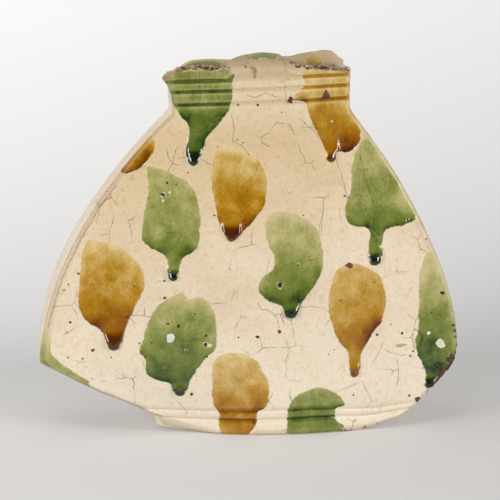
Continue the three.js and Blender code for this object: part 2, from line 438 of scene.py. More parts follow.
@dataclass(frozen=True)
class SlipFinish:
    """Cream slip under a clear glaze: blotched, striated, crazed and pricked with pinholes.

    A band is a stretch of heights in metres, and the last two of its four numbers are the shares at its ends.
    The paler slip towards the foot is painted light.
    """

    cream: Colour = tint(240, 224, 198)
    # Painted light: the paler slip towards the foot, where light bounces up from the table.
    pale: Colour = tint(248, 236, 214)
    warm: Colour = tint(231, 210, 179)
    shade: Colour = tint(221, 201, 167)
    shoulder_tan: Colour = tint(224, 200, 160)
    neck: Colour = tint(233, 214, 181)
    rim_tan: Colour = tint(186, 160, 124)
    craze: Colour = tint(138, 108, 78)
    pinhole: Colour = tint(52, 36, 24)
    iron: Colour = tint(142, 92, 62)
    inside: Colour = tint(150, 106, 62)
    worn: Colour = tint(122, 70, 44)
    # Painted shade: the dark of the torn rim's crevices, laid on its torn clay.
    torn: Colour = tint(66, 50, 34)
    torn_light: Colour = tint(206, 178, 140)
    lip: Colour = tint(216, 192, 154)
    painted_foot_light_band: Span = (0.02, 0.11, 0.9, 0.0)
    tan_band: Span = (0.13, 0.225)
    neck_band: Span = (0.2, 0.225)
    rim_band: Span = (0.238, 0.256)
    lip_band: Span = (0.222, 0.246)
    groove_band: Span = (0.05, 0.15, 0.15, 0.4)
    torn_span: Span = (0.3, 0.6)
    thin_span: Span = (0.45, 0.75, 0.0, 0.4)
    rubbed_span: Span = (0.55, 1.0)
    blotches: Cloud = Cloud(46, 3, span=(0.35, 0.68))
    drifts: Cloud = Cloud(30, 2, 3.0)
    drift: float = 0.05
    streaks: Cloud = Cloud((1.2, 1.2, 6), 3, span=(0.5, 0.75, 0.0, 0.2))
    smudges: Cloud = Cloud(3.4, 3, 15.0, (0.5, 0.75, 0.0, 0.3))
    grains: Cloud = Cloud(0.9, 2, span=(0.45, 0.8, 0.0, 0.45))
    swells: Cloud = Cloud(6.5, 3)
    sheens: Cloud = Cloud(24, 3, span=(0.3, 0.75, 0.24, 0.42))
    crumbles: Cloud = Cloud((4.5, 4.5, 1.8), 3, 13.0, (0.44, 0.56))
    rubs: Cloud = Cloud((3.5, 3.5, 6), 4, 7.0, (0.58, 0.68))
    craze_patches: Cloud = Cloud(19, 2, 9.0, (0.5, 0.62))
    craze_cell: float = 21.0
    craze_width: float = 0.011
    craze_wander: float = 0.2
    craze_shift: float = 6.0
    pinhole_cell: float = 15.0
    pinhole_rarity: float = 0.74
    freckle_cell: float = 7.5
    freckle_rarity: float = 0.8
    freckle_shift: float = 5.0
    lot_edge: float = 0.01
    dot_radius: float = 0.055
    dot_edge: float = 0.018
    swell_height: float = 0.4
    streak_height: float = 0.08
    flaw_depth: float = 0.25
    worn_roughness: float = 0.7

    def lay(self, sketch: Sketch) -> Surface:
        """Adds the slip's nodes to a material.

        Args:
            sketch: the material under construction.

        Returns:
            The slip's colour, roughness and relief, and where it is cracked.
        """
        colour = sketch.mix(sketch.share(self.blotches), self.cream, self.warm)
        level = sketch.axes()["Z"]
        # Painted light: the slip turns paler towards the foot.
        colour = sketch.mix(sketch.step(level, *self.painted_foot_light_band), colour, self.pale)
        drift = sketch.sum("MULTIPLY", sketch.noise(self.drifts), self.drift)
        # Darker and tanner up the shoulder and the neck, and darker again at the rim.
        tanned = sketch.step(sketch.sum("ADD", level, drift), *self.tan_band)
        colour = sketch.mix(tanned, colour, self.shoulder_tan)
        colour = sketch.mix(sketch.step(level, *self.neck_band), colour, self.neck)
        colour = sketch.mix(sketch.step(level, *self.rim_band), colour, self.rim_tan)
        streak = sketch.noise(self.streaks)
        shades = (
            sketch.step(streak, *self.streaks.span), sketch.share(self.smudges), sketch.share(self.grains),
        )
        for shade in shades:
            colour = sketch.mix(shade, colour, self.shade, "MULTIPLY")
        crack = self.crazing(sketch)
        colour = sketch.mix(crack, colour, self.craze)
        prick = self.pricks(sketch, self.pinhole_cell, self.pinhole_rarity)
        colour = sketch.mix(prick, colour, self.pinhole)
        freckle = self.pricks(sketch, self.freckle_cell, self.freckle_rarity, self.freckle_shift)
        colour = sketch.mix(freckle, colour, self.iron)
        colour = self.wear_and_crevice_shade(sketch, colour)
        flaw = sketch.sum("MULTIPLY", sketch.sum("MAXIMUM", crack, prick), self.flaw_depth)
        swell = sketch.sum("MULTIPLY", sketch.noise(self.swells), self.swell_height)
        ribbed = sketch.sum("ADD", swell, sketch.sum("MULTIPLY", streak, self.streak_height))
        relief = sketch.sum("SUBTRACT", ribbed, flaw)
        matt = sketch.share(self.sheens)
        for worn in ("dull", "torn"):
            rough = sketch.sum("MULTIPLY", sketch.attribute(worn), self.worn_roughness)
            matt = sketch.sum("MAXIMUM", matt, rough)
        return Surface(colour, matt, relief, crack)

    def crazing(self, sketch: Sketch) -> bpy.types.NodeSocket:
        """Hairline cracks, in patches.

        Args:
            sketch: the material under construction.

        Returns:
            The share of crack, from 0 to 1.
        """
        wide = sketch.cells(self.craze_cell, True, self.craze_wander, self.craze_shift).outputs["Distance"]
        line = sketch.step(wide, 0.0, self.craze_width, 1.0, 0.0)
        return sketch.sum("MULTIPLY", line, sketch.share(self.craze_patches))

    def pricks(self, sketch: Sketch, size: float, rarity: float, shift: float = 0.0) -> bpy.types.NodeSocket:
        """Scattered dots in some of the cells.

        Args:
            sketch: the material under construction.
            size: how far the cells lie apart, in millimetres.
            rarity: the share of cells without a dot.
            shift: moves the pattern, so that two layers differ.

        Returns:
            The share of dot, from 0 to 1.
        """
        node = sketch.cells(size, shift=shift)
        lot = sketch.add("ShaderNodeSeparateColor", {"Color": node.outputs["Color"]})
        chosen = sketch.step(lot.outputs[0], rarity, rarity + self.lot_edge)
        radius = sketch.sum("MULTIPLY", lot.outputs[1], self.dot_radius)
        edge = sketch.sum("ADD", radius, self.dot_edge)
        dot = sketch.step(node.outputs["Distance"], radius, edge, 1.0, 0.0)
        return sketch.sum("MULTIPLY", dot, chosen)

    def wear_and_crevice_shade(self, sketch: Sketch, colour: Feed) -> bpy.types.NodeSocket:
        """The inside's honey glaze, tan grooves, torn clay with painted shade in its crevices, tan along the
        arrises, and red clay where an arris is rubbed.

        Args:
            sketch: the material under construction.
            colour: the slip's colour so far.

        Returns:
            The worn colour.
        """
        level = sketch.axes()["Z"]
        lining = sketch.mix(sketch.step(level, *self.lip_band), self.inside, self.lip)
        colour = sketch.mix(sketch.attribute("inside"), colour, lining)
        scored = sketch.sum("MULTIPLY", sketch.attribute("groove"), sketch.step(level, *self.groove_band))
        colour = sketch.mix(scored, colour, self.rim_tan)
        # Painted shade: dark crevices mottle the torn rim's clay.
        torn_clay_and_crevice_shade = sketch.mix(sketch.share(self.crumbles), self.torn, self.torn_light)
        colour = sketch.mix(sketch.step(sketch.attribute("torn"), *self.torn_span), colour, torn_clay_and_crevice_shade)
        arris = sketch.attribute("arris")
        colour = sketch.mix(sketch.step(arris, *self.thin_span), colour, self.rim_tan)
        rubbed = sketch.sum("MULTIPLY", sketch.step(arris, *self.rubbed_span), sketch.share(self.rubs))
        return sketch.mix(rubbed, colour, self.worn)

    def material(self, name: str) -> bpy.types.Material:
        """The slip alone, as on the walls.

        Args:
            name: the material's name.

        Returns:
            The finished material.
        """
        sketch = Sketch(name)
        laid = self.lay(sketch)
        return sketch.finish(laid.colour, laid.roughness, laid.height)


@dataclass(frozen=True)
class GlazeFinish:
    """A coloured glaze over the slip, pale where it is thin and dark where it pooled."""

    tones: tuple[tuple[float, Colour], ...]
    fringe: Colour
    mottles: Cloud = Cloud((9, 9, 11), 3, 2.0)
    mottle: float = 0.62
    flecks: Cloud = Cloud((1.7, 1.7, 2.1), 3, 6.0)
    fleck: float = 0.5
    wobbles: Cloud = Cloud(1.7, 3)
    wobble: float = 1.2
    bays: Cloud = Cloud(6, 2, 4.0)
    bay: float = 3.0
    peels: Cloud = Cloud(3.2, 2)
    peel: float = 0.12
    slip_relief: float = 0.25
    crack_depth: float = 0.22
    pit_cell: float = 7.0
    pit_rarity: float = 0.86
    pit_shift: float = 11.0
    pit_share: float = 0.8
    halo_span: Span = (-1.0, -0.1, 0.0, 0.35)
    calm_span: Span = (0.0, 0.4, 1.0, 0.0)
    shine_span: Span = (0.0, 0.5, 0.16, 0.04)
    index_span: Span = (0.0, 0.5, 1.5, 1.58)
    dull_roughness: float = 0.5

    def material(self, name: str, slip: SlipFinish) -> bpy.types.Material:
        """The glaze with the slip under it, blended at the dab's edge.

        Args:
            name: the material's name.
            slip: the finish that shows round the dab and through thin glaze.

        Returns:
            The finished material.
        """
        sketch = Sketch(name)
        under = slip.lay(sketch)
        reach = sketch.attribute("reach")
        for cloud, gain in ((self.wobbles, self.wobble), (self.bays, self.bay)):
            reach = sketch.sum("ADD", reach, sketch.sway(cloud, gain))
        cover = sketch.step(reach, 0.0, sketch.attribute("soft"))
        halo = sketch.step(reach, *self.halo_span)
        bead = sketch.attribute("bead")
        calm = sketch.step(bead, *self.calm_span)
        mottle = sketch.sum("ADD", sketch.sway(self.mottles), sketch.sway(self.flecks, self.fleck))
        mottle = sketch.sum("MULTIPLY", sketch.sum("MULTIPLY", mottle, calm), self.mottle)
        depth = sketch.sum("ADD", sketch.attribute("depth"), mottle)
        depth = sketch.sum("ADD", depth, sketch.sum("MULTIPLY", under.crack, self.crack_depth))
        glaze = sketch.ramp(depth, self.tones)
        pit = slip.pricks(sketch, self.pit_cell, self.pit_rarity, self.pit_shift)
        glaze = sketch.mix(sketch.sum("MULTIPLY", pit, self.pit_share), glaze, slip.pinhole)
        ground = sketch.mix(halo, under.colour, self.fringe)
        colour = sketch.mix(cover, ground, glaze)
        dull = sketch.sum("MULTIPLY", sketch.attribute("dull"), self.dull_roughness)
        shine = sketch.sum("MAXIMUM", sketch.step(bead, *self.shine_span), dull)
        roughness = sketch.add("ShaderNodeMix", {0: cover, 2: under.roughness, 3: shine}).outputs[0]
        peel = sketch.sum("MULTIPLY", sketch.noise(self.peels), self.peel)
        relief = sketch.sum("ADD", peel, sketch.sum("MULTIPLY", under.height, self.slip_relief))
        relief = sketch.sum("MULTIPLY", relief, calm)
        return sketch.finish(colour, roughness, relief, IOR=sketch.step(bead, *self.index_span))


@dataclass(frozen=True)
class ClayFinish:
    """Bare fired clay: gritty, blotched and matt."""

    light: Colour
    dark: Colour
    pit: Colour
    lump: float = 9.0
    hole_level: float = 0.66
    roughness: float = 0.8
    blotch_detail: float = 4.0
    blotch_span: Plan = (0.35, 0.7)
    hole_share: float = 0.25
    hole_detail: float = 3.0
    hole_shift: float = 8.0
    hole_edge: float = 0.07
    hole_depth: float = 0.4
    grits: Cloud = Cloud(0.8, 2)
    grit_span: Plan = (0.3, 0.7)
    grit_height: float = 0.3
    smoother: float = 0.15
    rougher: float = 0.1

    def material(self, name: str) -> bpy.types.Material:
        """The clay alone.

        Args:
            name: the material's name.

        Returns:
            The finished material.
        """
        sketch = Sketch(name)
        blotch = sketch.share(Cloud(self.lump, self.blotch_detail, span=self.blotch_span))
        colour = sketch.mix(blotch, self.light, self.dark)
        level = (self.hole_level, self.hole_level + self.hole_edge)
        hole = sketch.share(Cloud(self.lump * self.hole_share, self.hole_detail, self.hole_shift, level))
        colour = sketch.mix(hole, colour, self.pit)
        grit = sketch.noise(self.grits)
        raised = sketch.sum("MULTIPLY", grit, self.grit_height)
        relief = sketch.sum("SUBTRACT", raised, sketch.sum("MULTIPLY", hole, self.hole_depth))
        ends = (self.roughness - self.smoother, self.roughness + self.rougher)
        return sketch.finish(colour, sketch.step(grit, *self.grit_span, *ends), relief)


SLIP = SlipFinish()
GREEN_TONES = (
    (0.0, tint(206, 192, 142)),
    (0.2, tint(174, 169, 106)),
    (0.42, tint(128, 137, 64)),
    (0.66, tint(88, 104, 36)),
    (0.84, tint(38, 60, 24)),
    (1.0, tint(12, 24, 16)),
)
AMBER_TONES = (
    (0.0, tint(226, 201, 146)),
    (0.2, tint(206, 171, 97)),
    (0.42, tint(180, 133, 32)),
    (0.64, tint(153, 98, 6)),
    (0.82, tint(118, 62, 4)),
    (1.0, tint(62, 24, 8)),
)


class Glaze(Enum):
    """The coloured glazes, each with its material's name and its finish."""

    GREEN = ("green_glaze", GlazeFinish(GREEN_TONES, tint(238, 230, 190)))
    AMBER = ("amber_glaze", GlazeFinish(AMBER_TONES, tint(242, 226, 186)))


@dataclass(frozen=True)
class Elevation:
    """A side of the vase: the node that carries it, the axis across it and the way that it looks."""

    node: str
    across: int
    outward: Place


class Face(Enum):
    """The sides that glaze and marks lie on."""

    FRONT = Elevation("front_wall", 0, (0.0, -1.0, 0.0))
    BACK = Elevation("back_wall", 0, (0.0, 1.0, 0.0))
    BACK_INSIDE = Elevation("back_wall", 0, (0.0, -1.0, 0.0))
    LEFT = Elevation("left_side_wall", 1, (-1.0, 0.0, 0.0))
    RIGHT = Elevation("right_side_wall", 1, (1.0, 0.0, 0.0))

    def plan(self, points: np.ndarray) -> np.ndarray:
        """Places on the elevation, across and up, in millimetres."""
        return points[:, (self.value.across, 2)] / MM

    def looks_out(self, normals: np.ndarray) -> np.ndarray:
        """How far each direction looks the way of this side, from -1 to 1."""
        return normals @ np.array(self.value.outward)


def closed_curve(points: tuple[Plan, ...], steps: int = 9) -> np.ndarray:
    """A smooth closed curve through a few points.

    Args:
        points: the places that it goes through, in order.
        steps: how many stretches lie between two of them.

    Returns:
        The curve's points.
    """
    corners = np.array(points, float)
    before, after = np.roll(corners, 1, 0), np.roll(corners, -1, 0)
    beyond = np.roll(corners, -2, 0)
    samples = []
    for share in np.arange(steps) / steps:
        cubic = 2 * corners + (after - before) * share
        cubic += (2 * before - 5 * corners + 4 * after - beyond) * share**2
        cubic += (3 * corners - before - 3 * after + beyond) * share**3
        samples.append(cubic / 2)
    return np.stack(samples, axis=1).reshape(-1, 2)


def reach_inside(places: np.ndarray, curve: np.ndarray) -> tuple[np.ndarray, np.ndarray]:
    """How far places lie inside a closed curve.

    Args:
        places: points on an elevation, in millimetres.
        curve: the closed curve's points.

    Returns:
        The distance to the curve, negative outside, and how far the curve's nearest stretch looks down.
    """
    start, end = curve, np.roll(curve, -1, 0)
    along = end - start
    length = np.maximum((along**2).sum(1), TINY)
    area = (start[:, 0] * end[:, 1] - end[:, 0] * start[:, 1]).sum()
    downward = -along[:, 0] / np.sqrt(length) * -math.copysign(1, area)
    nearest = np.full(len(places), np.inf)
    looks_down = np.zeros(len(places))
    inside = np.zeros(len(places), bool)
    for a, b, d, size, down in zip(start, end, along, length, downward):
        share = np.clip(((places - a) @ d) / size, 0, 1)
        gap = np.hypot(*(places - a - share[:, None] * d).T)
        closer = gap < nearest
        nearest[closer] = gap[closer]
        looks_down[closer] = down
        crosses = (a[1] > places[:, 1]) != (b[1] > places[:, 1])
        if a[1] != b[1]:
            at = a[0] + (places[:, 1] - a[1]) / (b[1] - a[1]) * d[0]
            inside ^= crosses & (places[:, 0] < at)
    return np.where(inside, nearest, -nearest), looks_down


@dataclass(frozen=True)
class Bead:
    """The round drop where a run of glaze stopped, on its side's elevation.

    Its place, radius and height are in millimetres, its depth is a share, and the rest is in its own radii.
    """

    across: float
    up: float
    radius: float
    height: float = 2.5
    depth: float = 0.98
    trail: float = 2.0
    start: float = 1.1
    flank: float = 0.8
    side: float = 1.5
    side_fade: float = 0.5
    shade_fade: float = 1.1
    shade_edge: float = 0.3

    def along_run(self, places: np.ndarray) -> tuple[np.ndarray, np.ndarray]:
        """Where places lie by the bead's run.

        Args:
            places: places on the elevation, in millimetres.

        Returns:
            How far up the run each lies, in radii, and how far it belongs to the run, from 0 to 1.
        """
        aside, rise = ((places - (self.across, self.up)) / self.radius).T
        return rise, ease(self.side - np.abs(aside), 0, self.side_fade)

    def cap(self, places: np.ndarray, reach: np.ndarray) -> np.ndarray:
        """How high the bead stands at places: flat on top and round at its flanks.

        Args:
            places: places on the elevation, in millimetres.
            reach: how far each lies inside the dab.

        Returns:
            The share of the bead's height, which fades upwards into the run.
        """
        rise, near = self.along_run(places)
        slack = 1 - np.clip(reach / (self.radius * self.flank), 0, 1)
        return ease(self.trail - rise, 0, self.trail) * near * np.sqrt(1 - slack**2)

    def shade(self, places: np.ndarray, reach: np.ndarray) -> np.ndarray:
        """How much of the bead's own colour shows at places, from 0 to 1."""
        rise, near = self.along_run(places)
        edge = ease(reach, 0, self.shade_edge * self.radius)
        return ease(self.start - rise, 0, self.shade_fade) * near * edge


@dataclass(frozen=True)
class Pool:
    """A place where a dab is deeper in colour, on its side's elevation, in millimetres."""

    across: float
    up: float
    radius: float
    depth: float


@dataclass(frozen=True)
class FilmForm:
    """How a film of glaze thins, rolls and pools towards its edge: lengths in millimetres, and shares.

    Ridges and grooves under the film change its depth, and grooves count for more below the foot's top.
    """

    pool_inset: float = 1.0
    pool_width: float = 2.4
    top: float = 0.55
    taper: float = 4.8
    low_taper_loss: float = 2.6
    roll_taper: float = 1.0
    flow_bend: float = 0.8
    edge_fade: float = 0.08
    edge_reach: float = 6.0
    softness: float = 1.2
    low_crispness: float = 0.7
    ridge_rounds: int = 14
    ridge_gain: float = 0.9
    ridge_span: Plan = (-0.2, 0.1)
    groove_depth: float = 0.18
    groove_span: Plan = (0.02, 0.5)
    foot_span: Plan = (0.0, 0.15)
    foot_top: float = 60.0
    foot_fade: float = 20.0


FILM = FilmForm()


@dataclass(frozen=True)
class GlazeDab:
    """One dab of glaze: its outline on a side's elevation, in millimetres, and the beads of its runs."""

    name: str
    glaze: Glaze
    outline: tuple[Plan, ...]
    beads: tuple[Bead, ...] = ()
    pools: tuple[Pool, ...] = ()
    face: Face = Face.FRONT
    levels: int = 2
    start_depth: float = 0.24
    end_depth: float = 0.68
    film: float = 0.3
    roll: float = 0.45
    pooling: float = 0.3
    cut_reach: float = 8.0
    skirt: float = 2.4
    sink: float = 0.35
    thickness: float = 0.7
    hidden_turn: float = -0.2
    bead_share: float = 0.94
    least_gap: float = 0.1

    def moved(self, name: str, face: Face, across: float, up: float, mirrored: bool = False) -> "GlazeDab":
        """A copy of this dab in another place.

        Args:
            name: the copy's name.
            face: the side that it lies on.
            across: how far it moves across, in millimetres, after any mirroring.
            up: how far it moves up.
            mirrored: whether it is turned left to right first.

        Returns:
            The new dab, which has no bead on a narrow side.
        """
        sign = -1 if mirrored else 1
        outline = tuple((sign * x + across, z + up) for x, z in self.outline)
        beads, pools = (
            tuple(replace(spot, across=sign * spot.across + across, up=spot.up + up) for spot in spots)
            for spots in (self.beads, self.pools)
        )
        if face in (Face.LEFT, Face.RIGHT):
            beads = ()
        return replace(self, name=name, face=face, outline=outline, beads=beads, pools=pools)

    def reach(self, places: np.ndarray, curve: np.ndarray) -> tuple[np.ndarray, np.ndarray]:
        """How far places lie inside the dab, whose runs end round.

        Args:
            places: places on the elevation, in millimetres.
            curve: the dab's closed outline.

        Returns:
            The distance to the edge, negative outside, and how far the edge there looks down.
        """
        reach, down = reach_inside(places, curve)
        for bead in self.beads:
            aside = np.hypot(places[:, 0] - bead.across, places[:, 1] - bead.up)
            within = bead.radius * self.bead_share - aside
            rounder = within > reach
            reach = np.where(rounder, within, reach)
            down = np.where(rounder, (bead.up - places[:, 1]) / np.maximum(aside, self.least_gap), down)
        return reach, down

    def build(self, wall: bpy.types.Object) -> bpy.types.Object:
        """Makes the dab as a closed, thin piece, cut from the wall that lies under and round it.

        Args:
            wall: the finished piece that carries the dab.

        Returns:
            The new piece.
        """
        curve = closed_curve(self.outline)
        patch = new_piece(self.name, wall.data.copy())
        patch.data.materials.clear()
        hidden = self.face.looks_out(vectors_of(patch.data.polygons, "normal")) < self.hidden_turn
        drop_faces(patch.data, hidden | self.beyond(patch.data, curve, self.cut_reach))
        apply_modifier(patch, "SUBSURF", levels=self.levels, render_levels=self.levels)
        drop_faces(patch.data, self.beyond(patch.data, curve, self.skirt))
        self.raise_film(patch.data, curve)
        apply_modifier(patch, "SOLIDIFY", thickness=self.thickness * MM, offset=-1.0)
        smooth_shading(patch.data)
        return patch

    def beyond(self, mesh: bpy.types.Mesh, curve: np.ndarray, margin: float) -> np.ndarray:
        """Which faces of a mesh lie further outside the dab than a margin in millimetres."""
        reach, _ = self.reach(self.face.plan(vectors_of(mesh.polygons, "center")), curve)
        return reach < -margin

    def raise_film(self, mesh: bpy.types.Mesh, curve: np.ndarray) -> None:
        """Lifts the glaze off the wall, sinks its skirt, and keeps how deep the glaze is for its colour.

        Args:
            mesh: the dab's mesh, which lies on the wall.
            curve: the dab's closed outline.
        """
        points, normals = points_of(mesh), normals_of(mesh)
        places = self.face.plan(points)
        reach, down = self.reach(places, curve)
        down = np.clip(down, 0, 1)
        pool = down * np.exp(-np.abs(reach - FILM.pool_inset) / FILM.pool_width)
        film = self.film * (FILM.top + (1 - FILM.top) * down)
        lift = film * ease(reach, 0, FILM.taper - FILM.low_taper_loss * down)
        lift -= self.sink * ease(-reach, 0, self.skirt)
        lift += self.roll * pool * ease(reach, 0, FILM.roll_taper)
        top, bottom = curve[:, 1].max(), curve[:, 1].min()
        flow = np.clip((top - places[:, 1]) / (top - bottom), 0, 1)
        depth = self.start_depth + (self.end_depth - self.start_depth) * flow**FILM.flow_bend
        depth -= FILM.edge_fade * (1 - down) * (1 - ease(reach, 0, FILM.edge_reach))
        depth += self.pooling * pool + self.relief_depth(mesh, places)
        for spot in self.pools:
            away = np.hypot(places[:, 0] - spot.across, places[:, 1] - spot.up) / spot.radius
            depth += spot.depth * np.exp(-(away**2))
        cap_share = np.zeros(len(points))
        for bead in self.beads:
            cap = bead.cap(places, reach)
            lift += bead.height * cap
            depth += (bead.depth - depth) * bead.shade(places, reach)
            cap_share = np.maximum(cap_share, cap)
        points += normals * (lift * MM)[:, None]
        points[:, 2] = np.maximum(points[:, 2], self.thickness * MM)
        move_points(mesh, points)
        store(mesh, "reach", reach)
        store(mesh, "soft", FILM.softness - FILM.low_crispness * down)
        store(mesh, "depth", np.clip(depth, 0, 1))
        store(mesh, "bead", cap_share)

    def relief_depth(self, mesh: bpy.types.Mesh, places: np.ndarray) -> np.ndarray:
        """How much deeper the glaze lies in hollows and grooves than on ridges.

        Args:
            mesh: the dab's mesh, which lies on the wall.
            places: its points on the elevation, in millimetres.

        Returns:
            What each point's depth gains.
        """
        ridge = np.clip(hollowness(mesh, FILM.ridge_rounds) * FILM.ridge_gain, *FILM.ridge_span)
        low = ease(FILM.foot_top - places[:, 1], 0, FILM.foot_fade)
        start, end = (
            neck + (foot - neck) * low for neck, foot in zip(FILM.groove_span, FILM.foot_span)
        )
        return ridge + FILM.groove_depth * ease(stored(mesh, "groove"), start, end)


# How far the low edges sag, across the vase, and the heights between which that fades, in millimetres.
LOW_EDGE_SAG = (
    (-132, 0.0), (-116, 1.8), (-104, 1.8), (-92, 0.0), (40, 0.0), (55, 1.2), (70, 3.4), (84, 4.5), (100, 4.2),
    (114, 3.6), (124, 1.6), (134, 0.0),
)
SAG_TOP = 55
SAG_FADE = 40


@dataclass
class ClayPiece:
    """A piece of clay, copied from its solid and softened as fingers leave it.

    Lengths are in millimetres, and a facing is how far a face looks to the front or the back, from 0 to 1.
    """

    node: str
    levels: int = 2
    soft_crease: float = 0.45
    seam_crease: float = 1.0
    groove_bend: float = math.radians(48)
    border_bend: float = math.radians(40)
    groove_facing: float = 0.6
    seam_facing: float = 0.95
    merge_gap: float = 0.01
    quad_bend: float = math.radians(60)
    quad_skew: float = math.radians(80)
    swell: float = 0.9
    lump_size: float = 34.0
    dimple_size: float = 9.0
    dimple: float = 0.16

    @property
    def name(self) -> str:
        """The name of the finished piece."""
        return f"{self.node}_clay"

    def build(self) -> bpy.types.Object:
        """Copies the solid, rounds it off and presses it uneven.

        Returns:
            The finished piece.
        """
        piece = self.copy_solid()
        self.crease_borders(piece.data)
        apply_modifier(piece, "SUBSURF", levels=self.levels, render_levels=self.levels)
        self.press(piece)
        self.settle(piece.data)
        self.shape(piece.data)
        self.stand_on_table(piece.data)
        smooth_shading(piece.data)
        return piece

    def copy_solid(self) -> bpy.types.Object:
        """Copies the node's mesh, merged and turned to quads.

        Returns:
            The new piece.
        """
        piece = new_piece(self.name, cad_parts[self.node].data.copy())
        only(piece)
        bpy.ops.object.mode_set(mode="EDIT")
        bpy.ops.mesh.select_all(action="SELECT")
        bpy.ops.mesh.customdata_custom_splitnormals_clear()
        bpy.ops.mesh.remove_doubles(threshold=self.merge_gap * MM)
        bpy.ops.mesh.tris_convert_to_quads(face_threshold=self.quad_bend, shape_threshold=self.quad_skew)
        bpy.ops.object.mode_set(mode="OBJECT")
        piece.data.materials.clear()
        return piece

    def crease_borders(self, mesh: bpy.types.Mesh) -> None:
        """Holds the borders of a slab or strip, so that only their arrises are rounded.

        Args:
            mesh: the piece's mesh, which also keeps where its arrises and grooves are.
        """
        shape = bmesh.new()
        shape.from_mesh(mesh)
        crease = shape.edges.layers.float.new("crease_edge")
        arris = shape.verts.layers.float.new("arris")
        groove = shape.verts.layers.float.new("groove")
        for edge in shape.edges:
            first, second = (face.normal.y for face in edge.link_faces)
            in_groove = first * second > 0 and min(abs(first), abs(second)) > self.groove_facing
            bend = edge.calc_face_angle()
            scored = in_groove and bend > self.groove_bend
            border = bend > self.border_bend and not in_groove
            if border:
                edge[crease] = self.seam_crease if self.is_seam(first, second) else self.soft_crease
            for vertex in edge.verts:
                vertex[groove] = max(vertex[groove], float(scored))
                vertex[arris] = max(vertex[arris], float(border))
        shape.to_mesh(mesh)
        shape.free()

    def is_seam(self, first: float, second: float) -> bool:
        """Whether an edge bounds the face that a strip is luted by, from its faces' share of depth."""
        return max(abs(first), abs(second)) > self.seam_facing

    def press(self, piece: bpy.types.Object) -> None:
        """Swells the clay unevenly by a fraction of a millimetre, which also closes its seams.

        Args:
            piece: the piece to press.
        """
        for label, size, strength, level in (
            ("lumps", self.lump_size, self.swell, 0.0),
            ("dimples", self.dimple_size, self.dimple, 0.5),
        ):
            texture = bpy.data.textures.new(f"{self.node}_{label}", "CLOUDS")
            texture.noise_scale = size * MM
            apply_modifier(piece, "DISPLACE", texture=texture, texture_coords="LOCAL",
                           strength=strength * MM, mid_level=level)

    def settle(self, mesh: bpy.types.Mesh) -> None:
        """Lets the low edges beside the foot sag, as they do in the portrait.

        Args:
            mesh: the piece's mesh.
        """
        points = points_of(mesh)
        across, up = points[:, 0] / MM, points[:, 2] / MM
        drop = np.interp(across, *np.array(LOW_EDGE_SAG).T)
        points[:, 2] -= drop * ease(SAG_TOP - up, 0, SAG_FADE) * MM
        move_points(mesh, points)

    def shape(self, mesh: bpy.types.Mesh) -> None:
        """Keeps a strip unworn. Slabs are cut further."""
        store(mesh, "arris", np.zeros(len(mesh.vertices)))

    def stand_on_table(self, mesh: bpy.types.Mesh) -> None:
        """Keeps the swollen clay from sinking into the table.

        Args:
            mesh: the piece's mesh.
        """
        points = points_of(mesh)
        points[:, 2] = np.maximum(points[:, 2], 0)
        move_points(mesh, points)


